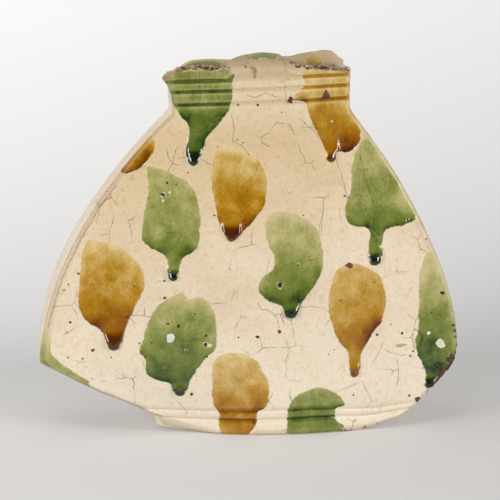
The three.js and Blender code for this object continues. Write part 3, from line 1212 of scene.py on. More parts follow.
@dataclass
class Slab(ClayPiece):
    """A wall slab, from the foot to a rim that is torn in places.

    A span of heights or widths is in millimetres, and a turn is how far the surface looks out or in.
    """

    facing: float = -1.0
    inside_turn: Plan = (0.35, 0.7)
    outside_turn: Plan = (0.1, 0.5)
    heel_line: tuple[Plan, Plan] | None = None
    heel_slope: float = 0.9
    heel_depth: float = 0.4
    groove_span: Plan = (0.1, 0.75)
    groove_gain: float = 0.9
    foot_gain: float = 0.4
    gain_heights: Plan = (60, 180)
    groove_drop: float = 2.0
    drop_heights: Plan = (206, 222)
    drop_ends: Plan = (-246, -240)
    rim_line: tuple[Plan, ...] = ()
    rim_base: float = 240.0
    rim_shift: tuple[Plan, ...] = ()
    shift_heights: Plan = (232, 247)
    torn_spans: tuple[Plan, ...] = ()
    torn_fade: float = 4.0
    torn_depths: Plan = (-4.2, -1.2)
    tear: float = 1.1
    tear_size: float = 2.1
    tear_in: float = 0.4
    tear_in_size: float = 1.7
    left_wear: float = 0.7
    bare_size: float = 9.0
    bare_span: Plan = (-0.5, 0.4)
    dull_heights: Plan = (244, 250)
    nub_ends: Plan = (47, 56)
    nub_swell: float = 3.0
    nub_height: float = 241.0
    nub_width: float = 3.2
    nub_flare: float = 2.6
    flare_heights: Plan = (224, 241)
    nub_return: float = 4.6
    return_heights: Plan = (243, 249)

    def is_seam(self, first: float, second: float) -> bool:
        """A slab's borders all show, so none is held sharp."""
        return False

    def shape(self, mesh: bpy.types.Mesh) -> None:
        """Deepens the grooves, shapes the rim and the heel, and keeps what the finish reads.

        Args:
            mesh: the slab's mesh.
        """
        points = points_of(mesh)
        normals = normals_of(mesh)
        store(mesh, "inside", ease(-self.facing * normals[:, 1], *self.inside_turn))
        self.mark_arrises(mesh, points, ease(self.facing * normals[:, 1], *self.outside_turn))
        self.deepen_grooves(points, normals, stored(mesh, "groove"))
        self.raise_rim(points)
        self.pull_nub(points)
        self.pare_heel(points)
        torn = self.torn_share(points)
        rough = ripple(points[:, 0] / MM, points[:, 1] / MM, self.tear_size)
        points[:, 2] += torn * self.tear * rough * MM
        jag = ripple(points[:, 2] / MM, points[:, 0] / MM, self.tear_in_size)
        points[:, 1] += torn * self.tear_in * jag * MM
        store(mesh, "torn", torn)
        move_points(mesh, points)

    def mark_arrises(self, mesh: bpy.types.Mesh, points: np.ndarray, outward: np.ndarray) -> None:
        """Keeps where the left arris shows its seam, where the right one is rubbed and where gloss is gone.

        Args:
            mesh: the slab's mesh.
            points: its points, in metres.
            outward: how far each looks out, from 0 to 1.
        """
        arris = stored(mesh, "arris")
        left = points[:, 0] < 0
        along = points[:, 2] / MM
        bare = ease(ripple(along, 0 * along, self.bare_size), *self.bare_span)
        store(mesh, "arris", np.where(left, arris * self.left_wear, arris))
        store(mesh, "seam", np.where(left, arris, 0) * outward)
        store(mesh, "dull", np.maximum(np.where(left, arris, arris * bare), ease(along, *self.dull_heights)))

    def deepen_grooves(self, points: np.ndarray, normals: np.ndarray, scored: np.ndarray) -> None:
        """Cuts the grooves deeper, and lowers those of the neck.

        Args:
            points: the slab's points, in metres, which move.
            normals: the way that each looks.
            scored: how far each lies in a groove.
        """
        up = points[:, 2] / MM
        gain = self.groove_gain * (self.foot_gain + (1 - self.foot_gain) * ease(up, *self.gain_heights))
        points -= normals * (ease(scored, *self.groove_span) * gain * MM)[:, None]
        points[:, 2] -= self.groove_drop * ease(up, *self.drop_heights) * ease(-up, *self.drop_ends) * MM

    def pare_heel(self, points: np.ndarray) -> None:
        """Pares the outside of the heel away below its line.

        Args:
            points: the slab's points, in metres, which move.
        """
        if not self.heel_line:
            return
        (x_low, z_low), (x_high, z_high) = self.heel_line
        share = np.clip((points[:, 0] / MM - x_low) / (x_high - x_low), 0, 1)
        below = np.clip(z_low + (z_high - z_low) * share - points[:, 2] / MM, 0, None)
        outer = self.facing * points[:, 1] > (np.abs(points[:, 1]).max() * self.heel_depth)
        points[:, 1] -= self.facing * below * self.heel_slope * MM * outer

    def raise_rim(self, points: np.ndarray) -> None:
        """Stretches the clay above the grooves to the rim's own line.

        Args:
            points: the slab's points, in metres, which move.
        """
        across, up = points[:, 0] / MM, points[:, 2] / MM
        if self.rim_shift:
            shift = np.interp(across, *np.array(self.rim_shift).T)
            points[:, 2] += shift * ease(up, *self.shift_heights) * MM
        if not self.rim_line:
            return
        crest = rim_height(points)(across)
        wanted = np.interp(across, *np.array(self.rim_line).T)
        share = np.clip((up - self.rim_base) / np.maximum(crest - self.rim_base, 1), 0, 1)
        points[:, 2] += share * (wanted - crest) * MM

    def pull_nub(self, points: np.ndarray) -> None:
        """Pulls the rim's left end out into the nub that the tear left.

        Args:
            points: the slab's points, in metres, which move.
        """
        if not self.rim_line:
            return
        across, up = points[:, 0] / MM, points[:, 2] / MM
        out = self.nub_swell * np.exp(-(((up - self.nub_height) / self.nub_width) ** 2))
        out += self.nub_flare * ease(up, *self.flare_heights)
        out -= self.nub_return * ease(up, *self.return_heights)
        points[:, 0] -= ease(-across, *self.nub_ends) * out * MM

    def torn_share(self, points: np.ndarray) -> np.ndarray:
        """Where the rim is torn.

        Args:
            points: the slab's points, in metres.

        Returns:
            A share for each point, from 0 to 1.
        """
        across, up = points[:, 0] / MM, points[:, 2] / MM
        share = np.zeros(len(points))
        crest = rim_height(points)
        for low, high in self.torn_spans:
            within = ease(across, low, low + self.torn_fade) * ease(-across, -high, -high + self.torn_fade)
            share = np.maximum(share, within * ease(up - crest(across), *self.torn_depths))
        return share


FRONT_RIM = (
    (-56, 243.5), (-53, 246.0), (-49, 249.5), (-38, 250.3), (-16, 249.5), (-12, 254.0), (-4, 256.4),
    (8, 257.6), (20, 257.0), (27, 253.0), (34, 250.0), (52, 248.8), (66, 247.0), (72, 246.0),
)

BACK_RIM_SHIFT = (
    (-56, -4.0), (-46, -3.4), (-38, 0.0), (26, 0.0), (34, -1.8), (45, -0.6), (56, 1.6), (61, 2.4), (66, 0.0),
)

# Where the rim's height is read, across the slab, and how far to each side of that, in millimetres.
RIM_LEFT = -60
RIM_RIGHT = 78
RIM_STRIDE = 3.0
RIM_WINDOW = 2.0


def rim_height(points: np.ndarray) -> Callable[[np.ndarray], np.ndarray]:
    """The height of a slab's rim across it.

    Args:
        points: the slab's points, in metres.

    Returns:
        A function from places across to heights, both in millimetres.
    """
    across, up = points[:, 0] / MM, points[:, 2] / MM
    bins = np.arange(RIM_LEFT, RIM_RIGHT, RIM_STRIDE)
    tops = [up[np.abs(across - middle) < RIM_WINDOW].max() for middle in bins]
    return lambda place: np.interp(place, bins, tops)


# The waves of a ripple: how often the main one rises, how far and how often it bends, and for each side wave
# its height, how often it rises along and across, and where it starts.
MAIN_WAVE = 2.9
BEND = 1.7
BEND_ALONG = 0.83
BEND_ACROSS = 0.6
SIDE_WAVES = ((0.6, 5.3, 0.9, 1.1), (0.5, 1.27, -1.3, 2.3))
RIPPLE_HEIGHT = 1.6


def ripple(first: np.ndarray, second: np.ndarray, size: float) -> np.ndarray:
    """A ragged wave over two directions, of three waves whose lengths share no measure.

    Args:
        first: places along the wave.
        second: places across it.
        size: how far its ridges lie apart.

    Returns:
        About -1 to 1 at each place.
    """
    bend = BEND * np.sin(first * BEND_ALONG / size + BEND_ACROSS * second)
    wave = np.sin(first * MAIN_WAVE / size + bend)
    for height, along, across, start in SIDE_WAVES:
        wave += height * np.sin(first * along / size + second * across + start)
    return wave / RIPPLE_HEIGHT


FRONT_DABS = (
    GlazeDab("neck_green", Glaze.GREEN, (
        (-57, 246), (-34, 247.5), (-13, 247), (-12, 238), (-14, 223), (-19, 215), (-28, 204), (-32, 196),
        (-34.6, 189), (-43.6, 189), (-44.5, 195), (-42, 208), (-48, 217), (-53, 226), (-58, 240),
    ), (Bead(-39.2, 188, 4.8, 2.2, trail=4.2, start=1.5),), (Pool(-33, 201, 5, 0.12),), levels=1,
        start_depth=0.34, end_depth=0.7),
    GlazeDab("neck_amber", Glaze.AMBER, (
        (35, 247.5), (52, 246.5), (72, 245), (72, 230), (73, 214), (76, 204), (72, 194), (66, 191), (59, 191),
        (56, 187), (51, 188), (49, 194), (43, 206), (38, 219), (36, 225), (28, 227), (29, 231), (35, 236),
    ), (Bead(54, 188.5, 4.2, 1.6, 0.95, 3.2, 0.8),), (Pool(70, 197, 9, 0.25),), levels=1,
        start_depth=0.15, end_depth=0.58),
    GlazeDab("shoulder_amber", Glaze.AMBER, (
        (-66, 204), (-65, 194), (-71, 185), (-84, 178), (-92, 186), (-76, 207),
    ), start_depth=0.3),
    GlazeDab("upper_left_green", Glaze.GREEN, (
        (-71, 183), (-64, 183), (-55, 180), (-40, 170), (-35, 152), (-37, 131), (-43, 125), (-48, 122),
        (-50, 113), (-58, 113), (-59, 123), (-74, 133), (-74, 148), (-70, 167),
    ), (Bead(-54, 111, 4.2, 2.2, trail=2.4),), (Pool(-50, 128, 8, 0.1),), start_depth=0.15, end_depth=0.47),
    GlazeDab("left_amber", Glaze.AMBER, (
        (-113, 133), (-102, 134), (-88, 130), (-76, 118), (-72.5, 107), (-76, 96), (-82, 84), (-85, 76),
        (-87, 70), (-88.8, 65), (-91.2, 60.6), (-96.6, 60.6), (-99.2, 64.5), (-100.6, 69), (-102.5, 73),
        (-106, 76),
        (-112, 79.5), (-118, 91), (-117, 109),
    ), (Bead(-94.4, 64.6, 4.9, 2.5, 0.95, 2.2, 1.9),), (
        Pool(-90, 80, 9, 0.14), Pool(-104, 80, 8, 0.1), Pool(-95, 110, 12, 0.05),
    ), start_depth=0.03),
    GlazeDab("lower_left_green", Glaze.GREEN, (
        (-50, 101), (-46, 99), (-44, 96), (-36, 97), (-28, 90), (-25, 76), (-26, 61), (-33, 54), (-42, 40),
        (-45.5, 32), (-54.5, 31), (-57, 37), (-66, 39), (-73, 44), (-74, 54), (-78, 60), (-75, 68), (-72, 78),
        (-66, 90), (-57, 97),
    ), (Bead(-50, 32, 4.6, 1.6, 0.94, 1.6, 0.7),), (
        Pool(-64, 46, 11, 0.14), Pool(-50, 45, 8, 0.08), Pool(-49, 68, 12, 0.18), Pool(-30, 64, 6, -0.12),
        Pool(-43, 84, 3.5, 0.12),
    ), start_depth=0.1, end_depth=0.62),
    GlazeDab("upper_amber", Glaze.AMBER, (
        (-24, 195), (-8, 195), (4, 189), (10, 174), (8, 158), (1, 148), (-6, 141), (-11, 136), (-19, 136),
        (-24, 148), (-26, 158), (-28, 175),
    ), (Bead(-15, 138.5, 5.0, 2.0, 0.96, 2.6, 1.6),), (Pool(-2, 147, 5, 0.22), Pool(-9, 166, 10, 0.22)),
        start_depth=0.03, end_depth=0.56),
    GlazeDab("kidney_green", Glaze.GREEN, (
        (8, 148), (15, 153), (23, 153), (34, 149), (43, 142), (47, 130), (47, 114), (41, 102), (32, 91),
        (29, 84), (20, 84), (18, 90), (8, 94), (2, 101), (5, 110), (12, 115), (13, 123), (9, 132), (7, 142),
    ), (Bead(24.5, 86, 5.5, trail=1.5, start=0.75),), (Pool(27, 96, 9, 0.16), Pool(40, 112, 8, 0.08)),
        start_depth=0.0, end_depth=0.6),
    GlazeDab("upper_right_green", Glaze.GREEN, (
        (79, 201), (90, 192), (102, 173), (113, 153), (113, 145), (105, 141), (92, 138), (89.5, 130),
        (88.6, 120), (78.8, 120), (80, 136), (77, 140), (69, 141), (63, 147), (63, 156), (67, 166), (69, 186),
    ), (Bead(83.7, 119, 4.9, trail=2.2),), (
        Pool(86, 143, 8, 0.12), Pool(103, 157, 8, -0.2), Pool(97, 167, 6, 0.1),
    ), start_depth=0.14, end_depth=0.56),
    GlazeDab("right_amber", Glaze.AMBER, (
        (61, 116), (71, 117), (80, 113), (88, 106), (92, 92), (89, 77), (84, 70), (78, 61), (74.5, 54),
        (73.5, 45), (71.5, 39.5), (66.8, 39.5), (64.9, 45), (63.6, 56), (59, 62), (55, 70), (50, 85),
        (51, 99), (55, 111),
    ), (Bead(69.2, 42, 4.1, 1.5, 0.8, 3.0),), (
        Pool(86, 75, 8, 0.3), Pool(78, 65, 8, 0.36), Pool(66, 66, 8, 0.1),
    ), start_depth=0.2, end_depth=0.5),
    GlazeDab("right_edge_green", Glaze.GREEN, (
        (126, 124), (117, 117), (114, 98), (114, 72), (112, 60), (115, 50), (120, 38), (119, 32), (126, 30),
        (129, 35), (134, 40), (150, 50), (150, 80), (140, 112),
    ), (Bead(123, 31.5, 4.4, 1.6, trail=1.1),), (
        Pool(121, 62, 10, 0.2), Pool(122, 42, 7, 0.16), Pool(124, 103, 11, -0.16),
    ), start_depth=0.02, end_depth=0.7),
    GlazeDab("foot_amber", Glaze.AMBER, (
        (-28, 53), (-20, 58), (-11, 59), (1, 54), (8, 42), (11, 31), (8.5, 20), (3, 16), (2, 8), (-3, 1),
        (-12, -4), (-21, -3), (-24, 7), (-24, 16), (-28, 22), (-29, 37),
    ), pools=(Pool(5, 22, 7, 0.14),), levels=1, start_depth=0.05, end_depth=0.66),
    GlazeDab("foot_green", Glaze.GREEN, (
        (44, 33), (54, 30), (61, 24), (63, 19), (57, 16), (58, 9), (64, 3), (58, -5), (24, -5), (22, 8),
        (23, 20), (28, 27), (36, 31),
    ), levels=1, start_depth=0.28, end_depth=0.74),
    GlazeDab("corner_green", Glaze.GREEN, (
        (-141, 76), (-136, 70), (-135, 58), (-128, 51), (-119, 44), (-110, 37), (-111, 26), (-130, 34),
        (-150, 44), (-150, 66),
    ), pools=(Pool(-142, 50, 4, 0.35),), start_depth=0.18, end_depth=0.42),
    GlazeDab("corner_green_side", Glaze.GREEN, (
        (-40, 74), (-25, 68), (-17, 58), (-20, 46), (-30, 36), (-45, 34),
    ), face=Face.LEFT, levels=1, start_depth=0.18, end_depth=0.42),
    GlazeDab("smear_green", Glaze.GREEN, ((97, 58.5), (102, 60.5), (108, 59), (102, 57)), start_depth=0.12,
             end_depth=0.2, film=0.1, pooling=0.0),
    GlazeDab("crest_green", Glaze.GREEN, ((1, 254.8), (9, 254.2), (19, 254.8), (20, 265), (0, 265)), levels=1,
             start_depth=0.5, end_depth=0.56, pooling=0.0, roll=0.1),
    GlazeDab("lip_green", Glaze.GREEN, (
        (-48, 240), (-18, 240), (-17, 252), (-30, 260), (-46, 256),
    ), face=Face.BACK_INSIDE, levels=1, start_depth=0.16, end_depth=0.34, pooling=0.0),
    GlazeDab("lip_amber", Glaze.AMBER, (
        (42, 243), (52, 243), (55, 250), (52, 256), (55, 263), (45, 263), (46, 256), (42, 250),
    ), face=Face.BACK_INSIDE, levels=1, start_depth=0.1, end_depth=0.2, pooling=0.0, film=0.1),
)


def dab_named(name: str) -> GlazeDab:
    """The front dab of that name."""
    return next(dab for dab in FRONT_DABS if dab.name == name)


# The unseen sides repeat the seen dabs in other places: the dab, its new name, its side, how far it moves
# across and up, and whether it is turned left to right.
MOVED_DABS = (
    ("neck_green", "back_neck_green", Face.BACK, 74, 2, False),
    ("neck_amber", "back_neck_amber", Face.BACK, -72, 0, False),
    ("upper_amber", "back_upper_amber", Face.BACK, -59, -8, True),
    ("upper_left_green", "back_middle_green", Face.BACK, 60, -22, False),
    ("left_amber", "back_right_amber", Face.BACK, -22, 52, True),
    ("kidney_green", "back_kidney_green", Face.BACK, -62, -6, True),
    ("lower_left_green", "back_right_green", Face.BACK, 146, 2, False),
    ("right_amber", "back_middle_amber", Face.BACK, -28, -14, False),
    ("right_amber", "back_left_amber", Face.BACK, -108, -16, False),
    ("left_amber", "right_side_amber", Face.RIGHT, 92, 58, False),
    ("upper_left_green", "right_side_green", Face.RIGHT, 54, -62, False),
)


class MarkKind(Enum):
    """The small marks of the firing and painted glints, each with the finish that shows in it."""

    PIT = ClayFinish(tint(54, 38, 26), tint(34, 24, 16), tint(20, 14, 10), lump=2.0, roughness=0.6)
    IRON = ClayFinish(tint(122, 66, 40), tint(80, 40, 26), tint(48, 26, 16), lump=1.6, roughness=0.7)
    STAIN = ClayFinish(tint(190, 152, 116), tint(156, 112, 82), tint(124, 82, 58), lump=2.0, roughness=0.5)
    # Bare spots where the glaze is gone, and painted glints.
    BARE = ClayFinish(tint(234, 231, 220), tint(222, 215, 194), tint(200, 190, 160), lump=2.4, roughness=0.45)
    # Partly pale crater rims, partly painted highlights round the pinholes.
    RIM = ClayFinish(tint(210, 204, 160), tint(184, 180, 126), tint(160, 154, 100), lump=1.2, roughness=0.25)
    CRACK = ClayFinish(tint(84, 60, 42), tint(56, 40, 28), tint(36, 26, 18), lump=2.5, roughness=0.7)
    SEAM = ClayFinish(tint(176, 140, 106), tint(136, 100, 72), tint(104, 74, 52), lump=8.0, roughness=0.5)


# Spots are places on the front, across and up, and their radii, in millimetres.
PITS = (
    (4, 224, 1.3), (20, 219, 0.9), (-10, 201, 0.9), (-6, 199, 0.8), (55, 216, 1.0), (-57, 172.3, 1.3),
    (-51, 171.3, 0.9),
    (-60, 164.5, 2.4), (-43, 179, 0.8), (-26, 151, 1.0), (-117, 112, 1.3), (-123, 79, 1.3), (-125, 72, 0.9),
    (-125, 55, 0.9), (-115, 54, 0.9), (-96, 55, 0.9), (-109, 40, 0.9), (-77, 65, 1.1), (-80, 104, 1.2),
    (-60, 96, 1.5), (-58, 78.5, 1.4), (-51, 77, 2.1), (-40, 85, 1.3), (-46, 61, 1.3), (-61, 48.2, 1.2),
    (-69, 65.5, 1.1),
    (-33, 64.3, 2.2), (-32.5, 70.5, 1.5), (-73.5, 55.5, 1.2), (-32, 56, 1.3), (2, 69, 2.1), (-11, 69, 1.0),
    (34, 150, 0.8), (30, 117, 1.5), (17, 104, 2.9), (83, 103, 0.9),
    (59, 92, 1.1), (51, 55, 0.8), (55, 58, 0.7), (95, 73.5, 0.9), (85, 67, 1.7), (114.6, 50.8, 1.0),
    (118, 41.7, 0.9), (63, 162, 1.3), (66, 161, 0.9), (107, 144, 1.7),
    (131.3, 93.7, 2.5), (103, 67, 1.4), (111, 54, 1.1), (69, 25.7, 1.1), (109, 22.5, 1.5), (62, 43, 0.7),
    (123.8, 80.3, 0.9), (129.4, 78.7, 0.9), (-69, 162, 0.8), (-45, 15, 0.8), (81, 173, 0.8), (79, 179, 0.8),
    (-23, 196, 0.8),
)
# The larger pits in glaze have a pale rim, wider than the pit by this share: partly the crater's pale edge,
# partly a painted highlight.
RIM_SHARE = 1.4
RIMMED = {
    (-60, 164.5), (-58, 78.5), (-40, 85), (-46, 61), (-61, 48.2), (30, 117), (17, 104), (107, 144), (55, 216),
    (-80, 104), (-43, 179), (-33, 64.3),
}
PIT_RIMS_AND_GLINTS = tuple((across, up, radius * RIM_SHARE) for across, up, radius in PITS if (across, up) in RIMMED)
IRONS = (
    (26, 227, 3.9), (17, 72.3, 2.2), (-108, 60, 2.0), (-42, 29, 1.6), (115.3, 19.6, 3.4), (120, 131, 1.0),
    (-9, 224, 1.3), (0, 9, 2.0), (139.5, 71, 1.8), (140.5, 67, 2.2), (141, 63, 1.8),
)
STAINS = (
    (-4, 249.5, 2.0), (1.5, 3, 4.6), (4, 2, 3.4), (-124, 105, 1.2), (-127, 101, 1.4), (109, 50.8, 2.0),
)
# Bare spots, some of them painted glints: the two at the broken corner and the two beside the large pit up
# the left.
BARES_AND_GLINTS = (
    (-56.5, 69, 4.6), (122, 66, 2.2), (137, 51, 1.0), (140, 48, 0.9), (55, 212, 1.2), (-55.5, 166, 1.5),
    (-60, 160.5, 1.4), (-30.3, 63.6, 2.2),
)
# Patches and cracks are lines of places on the front, across and up, in millimetres.
IRON_PATCHES = (
    ((47.4, 226.6), (48.6, 229.5), (49.7, 232), (50.8, 233.7), (52.4, 231.4), (53.8, 229.1), (53.4, 227),
     (50.6, 226.4)),
    ((61.9, 115.6), (63.5, 116.3), (65, 117.4), (67.9, 116.4), (67.9, 114.3), (66.1, 112.9), (63.8, 114.6)),
)
STAIN_PATCHES = (
    ((-1.5, 249), (0.5, 250.2), (2.5, 249.6), (3.4, 246.5), (2.8, 243.5), (2.2, 241.5), (1.2, 242.5),
     (0.8, 245.5)),
)
BARE_PATCHES = (
    ((126.8, 58.8), (128.2, 61), (130.2, 62.2), (132.2, 60.6), (133.2, 58.2), (134, 56.6), (131.2, 55.2),
     (128.6, 56.2)),
)
CRACKS = (
    ((-34, 247), (-34.5, 238), (-34, 231), (-35, 223)),
    ((-57, 195), (-56, 189), (-53, 185), (-56, 180), (-54, 175)),
    ((-50, 196), (-52, 190), (-53, 185), (-49, 184)),
    ((-101, 137), (-96, 139), (-94, 146), (-93, 151)),
    ((-96, 139), (-96, 133)),
    ((90.5, 56.5), (96, 53.5), (102.5, 51.2), (105.5, 51.8)),
    ((100, 49), (101, 40), (100, 30)),
    ((2, 93), (4, 88), (10, 87), (15, 82), (17, 75)),
    ((56, 190), (61, 176), (65, 160)),
    ((34, 213), (42, 206), (48, 199)),
    ((-14, 219), (-12, 208), (-13, 200), (-7, 197), (-2, 191)),
    ((74, 190), (78, 172), (83, 156)),
    ((16, 212), (25, 211), (29, 204)),
    ((-4, 231), (3, 229), (9, 232), (18, 229)),
)


@dataclass
class FiringMarksAndGlints:
    """Small marks of one kind on one wall, as thin closed pieces in one mesh.

    Lengths are in millimetres, and pairs are the ends of a random draw.
    """

    name: str
    kind: MarkKind
    face: Face
    spots: tuple[Place, ...] = ()
    lines: tuple[tuple[Plan, ...], ...] = ()
    patches: tuple[tuple[Plan, ...], ...] = ()
    rings: tuple[float, ...] = (1.0, 0.75, 0.5, 0.25)
    sides: int = 11
    patch_steps: int = 3
    line_width: float = 0.46
    proud: float = 0.08
    edge_share: float = 0.4
    buried: float = 1.6
    seed: int = 5
    squash: Plan = (0.65, 1.0)
    rag: Plan = (0.7, 1.15)
    spot_share: float = 0.72
    sliver: float = 1.6
    overlap: float = 1.35
    sway: float = 0.35
    sliver_width: Plan = (0.5, 1.1)
    ray_start: float = 200.0
    trees: list[BVHTree] = field(default_factory=list)

    def build(self, carriers: list[bpy.types.Object]) -> bpy.types.Object:
        """Lays the marks on the wall and the glaze that it carries.

        Args:
            carriers: the pieces that the marks may lie on, of which the outermost is taken.

        Returns:
            The new piece.
        """
        self.trees = [BVHTree.FromObject(piece, bpy.context.evaluated_depsgraph_get()) for piece in carriers]
        draw = random.Random(self.seed)
        shape = bmesh.new()
        for across, up, radius in self.spots:
            self.add_spot(shape, (across, up), radius, draw)
        for line in self.lines:
            self.add_line(shape, line, draw)
        for patch in self.patches:
            self.add_patch(shape, patch)
        bmesh.ops.recalc_face_normals(shape, faces=shape.faces)
        mesh = bpy.data.meshes.new(self.name)
        shape.to_mesh(mesh)
        shape.free()
        return new_piece(self.name, mesh)

    def seat(self, across: float, up: float) -> Vector | None:
        """The outermost point of the carriers at a place on the elevation.

        Args:
            across: the place across the side, in millimetres.
            up: its height.

        Returns:
            The point, or nothing where no carrier lies there.
        """
        outward = Vector(self.face.value.outward)
        start = outward * self.ray_start * MM
        start[self.face.value.across] = across * MM
        start.z = up * MM
        hits = [tree.ray_cast(start, -outward)[0] for tree in self.trees]
        hits = [hit for hit in hits if hit is not None]
        return max(hits, key=lambda hit: hit.dot(outward)) if hits else None

    def add_prism(self, shape: bmesh.types.BMesh, loop: list[Plan], middle: Plan) -> None:
        """Adds a thin closed lens over a loop of places, which follows the surface under it.

        Args:
            shape: the mesh under construction.
            loop: the lens's outline on the elevation.
            middle: the place of its crown.
        """
        outward = Vector(self.face.value.outward)
        centre = np.array(middle)
        spokes = [np.array(place) - centre for place in loop]
        rings = [[self.seat(*(centre + spoke * share)) for spoke in spokes] for share in self.rings]
        crown = self.seat(*middle)
        if crown is None or any(None in ring for ring in rings):
            return
        proud = [self.proud * self.edge_share] + [self.proud] * (len(rings) - 1)
        rows = []
        for ring, height in zip(rings, proud):
            rows.append([shape.verts.new(seat + outward * height * MM) for seat in ring])
        top = shape.verts.new(crown + outward * self.proud * MM)
        root = shape.verts.new(crown - outward * self.buried * MM)
        for index in range(len(loop)):
            after = (index + 1) % len(loop)
            for outer, inner in zip(rows, rows[1:]):
                shape.faces.new((outer[index], outer[after], inner[after], inner[index]))
            shape.faces.new((rows[-1][index], rows[-1][after], top))
            shape.faces.new((rows[0][after], rows[0][index], root))

    def add_patch(self, shape: bmesh.types.BMesh, patch: tuple[Plan, ...]) -> None:
        """Adds one patch of its own outline.

        Args:
            shape: the mesh under construction.
            patch: the corners of its outline.
        """
        loop = []
        for (x0, z0), (x1, z1) in zip(patch, patch[1:] + patch[:1]):
            for step in range(self.patch_steps):
                share = step / self.patch_steps
                loop.append((x0 + (x1 - x0) * share, z0 + (z1 - z0) * share))
        self.add_prism(shape, loop, tuple(np.mean(patch, axis=0)))

    def add_spot(self, shape: bmesh.types.BMesh, middle: Plan, radius: float, draw: random.Random) -> None:
        """Adds one ragged spot.

        Args:
            shape: the mesh under construction.
            middle: the spot's place on the elevation.
            radius: its size.
            draw: the source of its raggedness.
        """
        squash = draw.uniform(*self.squash)
        lean = draw.uniform(0, math.pi)
        across, up = middle
        loop = []
        for side in range(self.sides):
            angle = math.tau * side / self.sides
            size = radius * draw.uniform(*self.rag) * self.spot_share
            x, z = size * math.cos(angle) * squash, size * math.sin(angle)
            loop.append((across + x * math.cos(lean) - z * math.sin(lean),
                         up + x * math.sin(lean) + z * math.cos(lean)))
        self.add_prism(shape, loop, middle)

    def add_line(self, shape: bmesh.types.BMesh, line: tuple[Plan, ...], draw: random.Random) -> None:
        """Adds one crack, as a row of short slivers that wander about its line.

        Args:
            shape: the mesh under construction.
            line: the crack's points on the elevation.
            draw: the source of its wandering.
        """
        places = np.array(line, float)
        for start, end in zip(places, places[1:]):
            along = end - start
            length = np.hypot(*along)
            aside = np.array((-along[1], along[0])) / length
            count = max(int(length / self.sliver), 1)
            sway = [draw.uniform(-self.sway, self.sway) for _ in range(count + 1)]
            for index in range(count):
                tail = start + along * (index / count) + aside * sway[index]
                tip = start + along * ((index + self.overlap) / count) + aside * sway[index + 1]
                half = aside * self.line_width / 2 * draw.uniform(*self.sliver_width)
                middle = (tail + tip) / 2
                self.add_prism(shape, [tail, middle - half, tip, middle + half], middle)


@dataclass
class TornClay:
    """Crumbs of clay along a torn stretch of a slab's edge.

    Lengths are in millimetres, and pairs are the ends of a random draw.
    """

    name: str
    places: tuple[Plan, ...]
    finish: ClayFinish
    face: Face = Face.FRONT
    size: Plan = (1.6, 3.6)
    seed: int = 3
    wall_depth: float = 25.0
    depth_spread: float = 2.4
    lift: float = 0.1
    swing: Place = (0.5, 0.4, 0.5)
    stretches: tuple[Plan, ...] = ((1.1, 2.0), (0.5, 0.8), (0.2, 0.38))
    rag: Plan = (0.72, 1.12)

    def build(self, wall: bpy.types.Object) -> bpy.types.Object:
        """Makes one mesh of crumbs, each seated on the nearest point of the wall.

        Args:
            wall: the slab that the crumbs belong to.

        Returns:
            The new piece.
        """
        draw = random.Random(self.seed)
        tree = BVHTree.FromObject(wall, bpy.context.evaluated_depsgraph_get())
        depth = self.wall_depth * self.face.value.outward[1]
        crumbs = []
        for across, up in self.places:
            guess = Vector((across, depth + draw.uniform(-1, 1) * self.depth_spread, up)) * MM
            seat, normal, _, _ = tree.find_nearest(guess)
            crumbs.append(self.crumb(seat + normal * self.lift * MM, draw))
        only(crumbs[0])
        for crumb in crumbs:
            crumb.select_set(True)
        bpy.ops.object.join()
        piece = bpy.context.view_layer.objects.active
        piece.name = self.name
        bpy.ops.object.transform_apply(location=True, rotation=True, scale=True)
        return piece

    def crumb(self, seat: Vector, draw: random.Random) -> bpy.types.Object:
        """Adds one jagged crumb.

        Args:
            seat: its place, in metres.
            draw: the source of its turn, size and jags.

        Returns:
            The new crumb.
        """
        bpy.ops.object.select_all(action="DESELECT")
        turn = tuple(draw.uniform(-swing, swing) for swing in self.swing)
        bpy.ops.mesh.primitive_ico_sphere_add(subdivisions=2, radius=0.5, location=seat, rotation=turn)
        crumb = bpy.context.object
        long = draw.uniform(*self.size) * MM
        crumb.scale = tuple(long * draw.uniform(*stretch) for stretch in self.stretches)
        for vertex in crumb.data.vertices:
            vertex.co *= draw.uniform(*self.rag)
        return crumb


@dataclass(frozen=True)
class Lamp:
    """A soft rectangular lamp: its place and size in metres and its power in watts."""

    name: str
    place: Place
    size: Plan
    power: float

    def hang(self, target: Place) -> None:
        """Adds the lamp to the scene.

        Args:
            target: the place that it looks at.
        """
        turn = (Vector(target) - Vector(self.place)).to_track_quat("-Z", "Y").to_euler()
        bpy.ops.object.light_add(type="AREA", location=self.place, rotation=turn)
        lamp = bpy.context.object
        lamp.name = self.name
        lamp.data.shape = "RECTANGLE"
        lamp.data.size, lamp.data.size_y = self.size
        lamp.data.energy = self.power


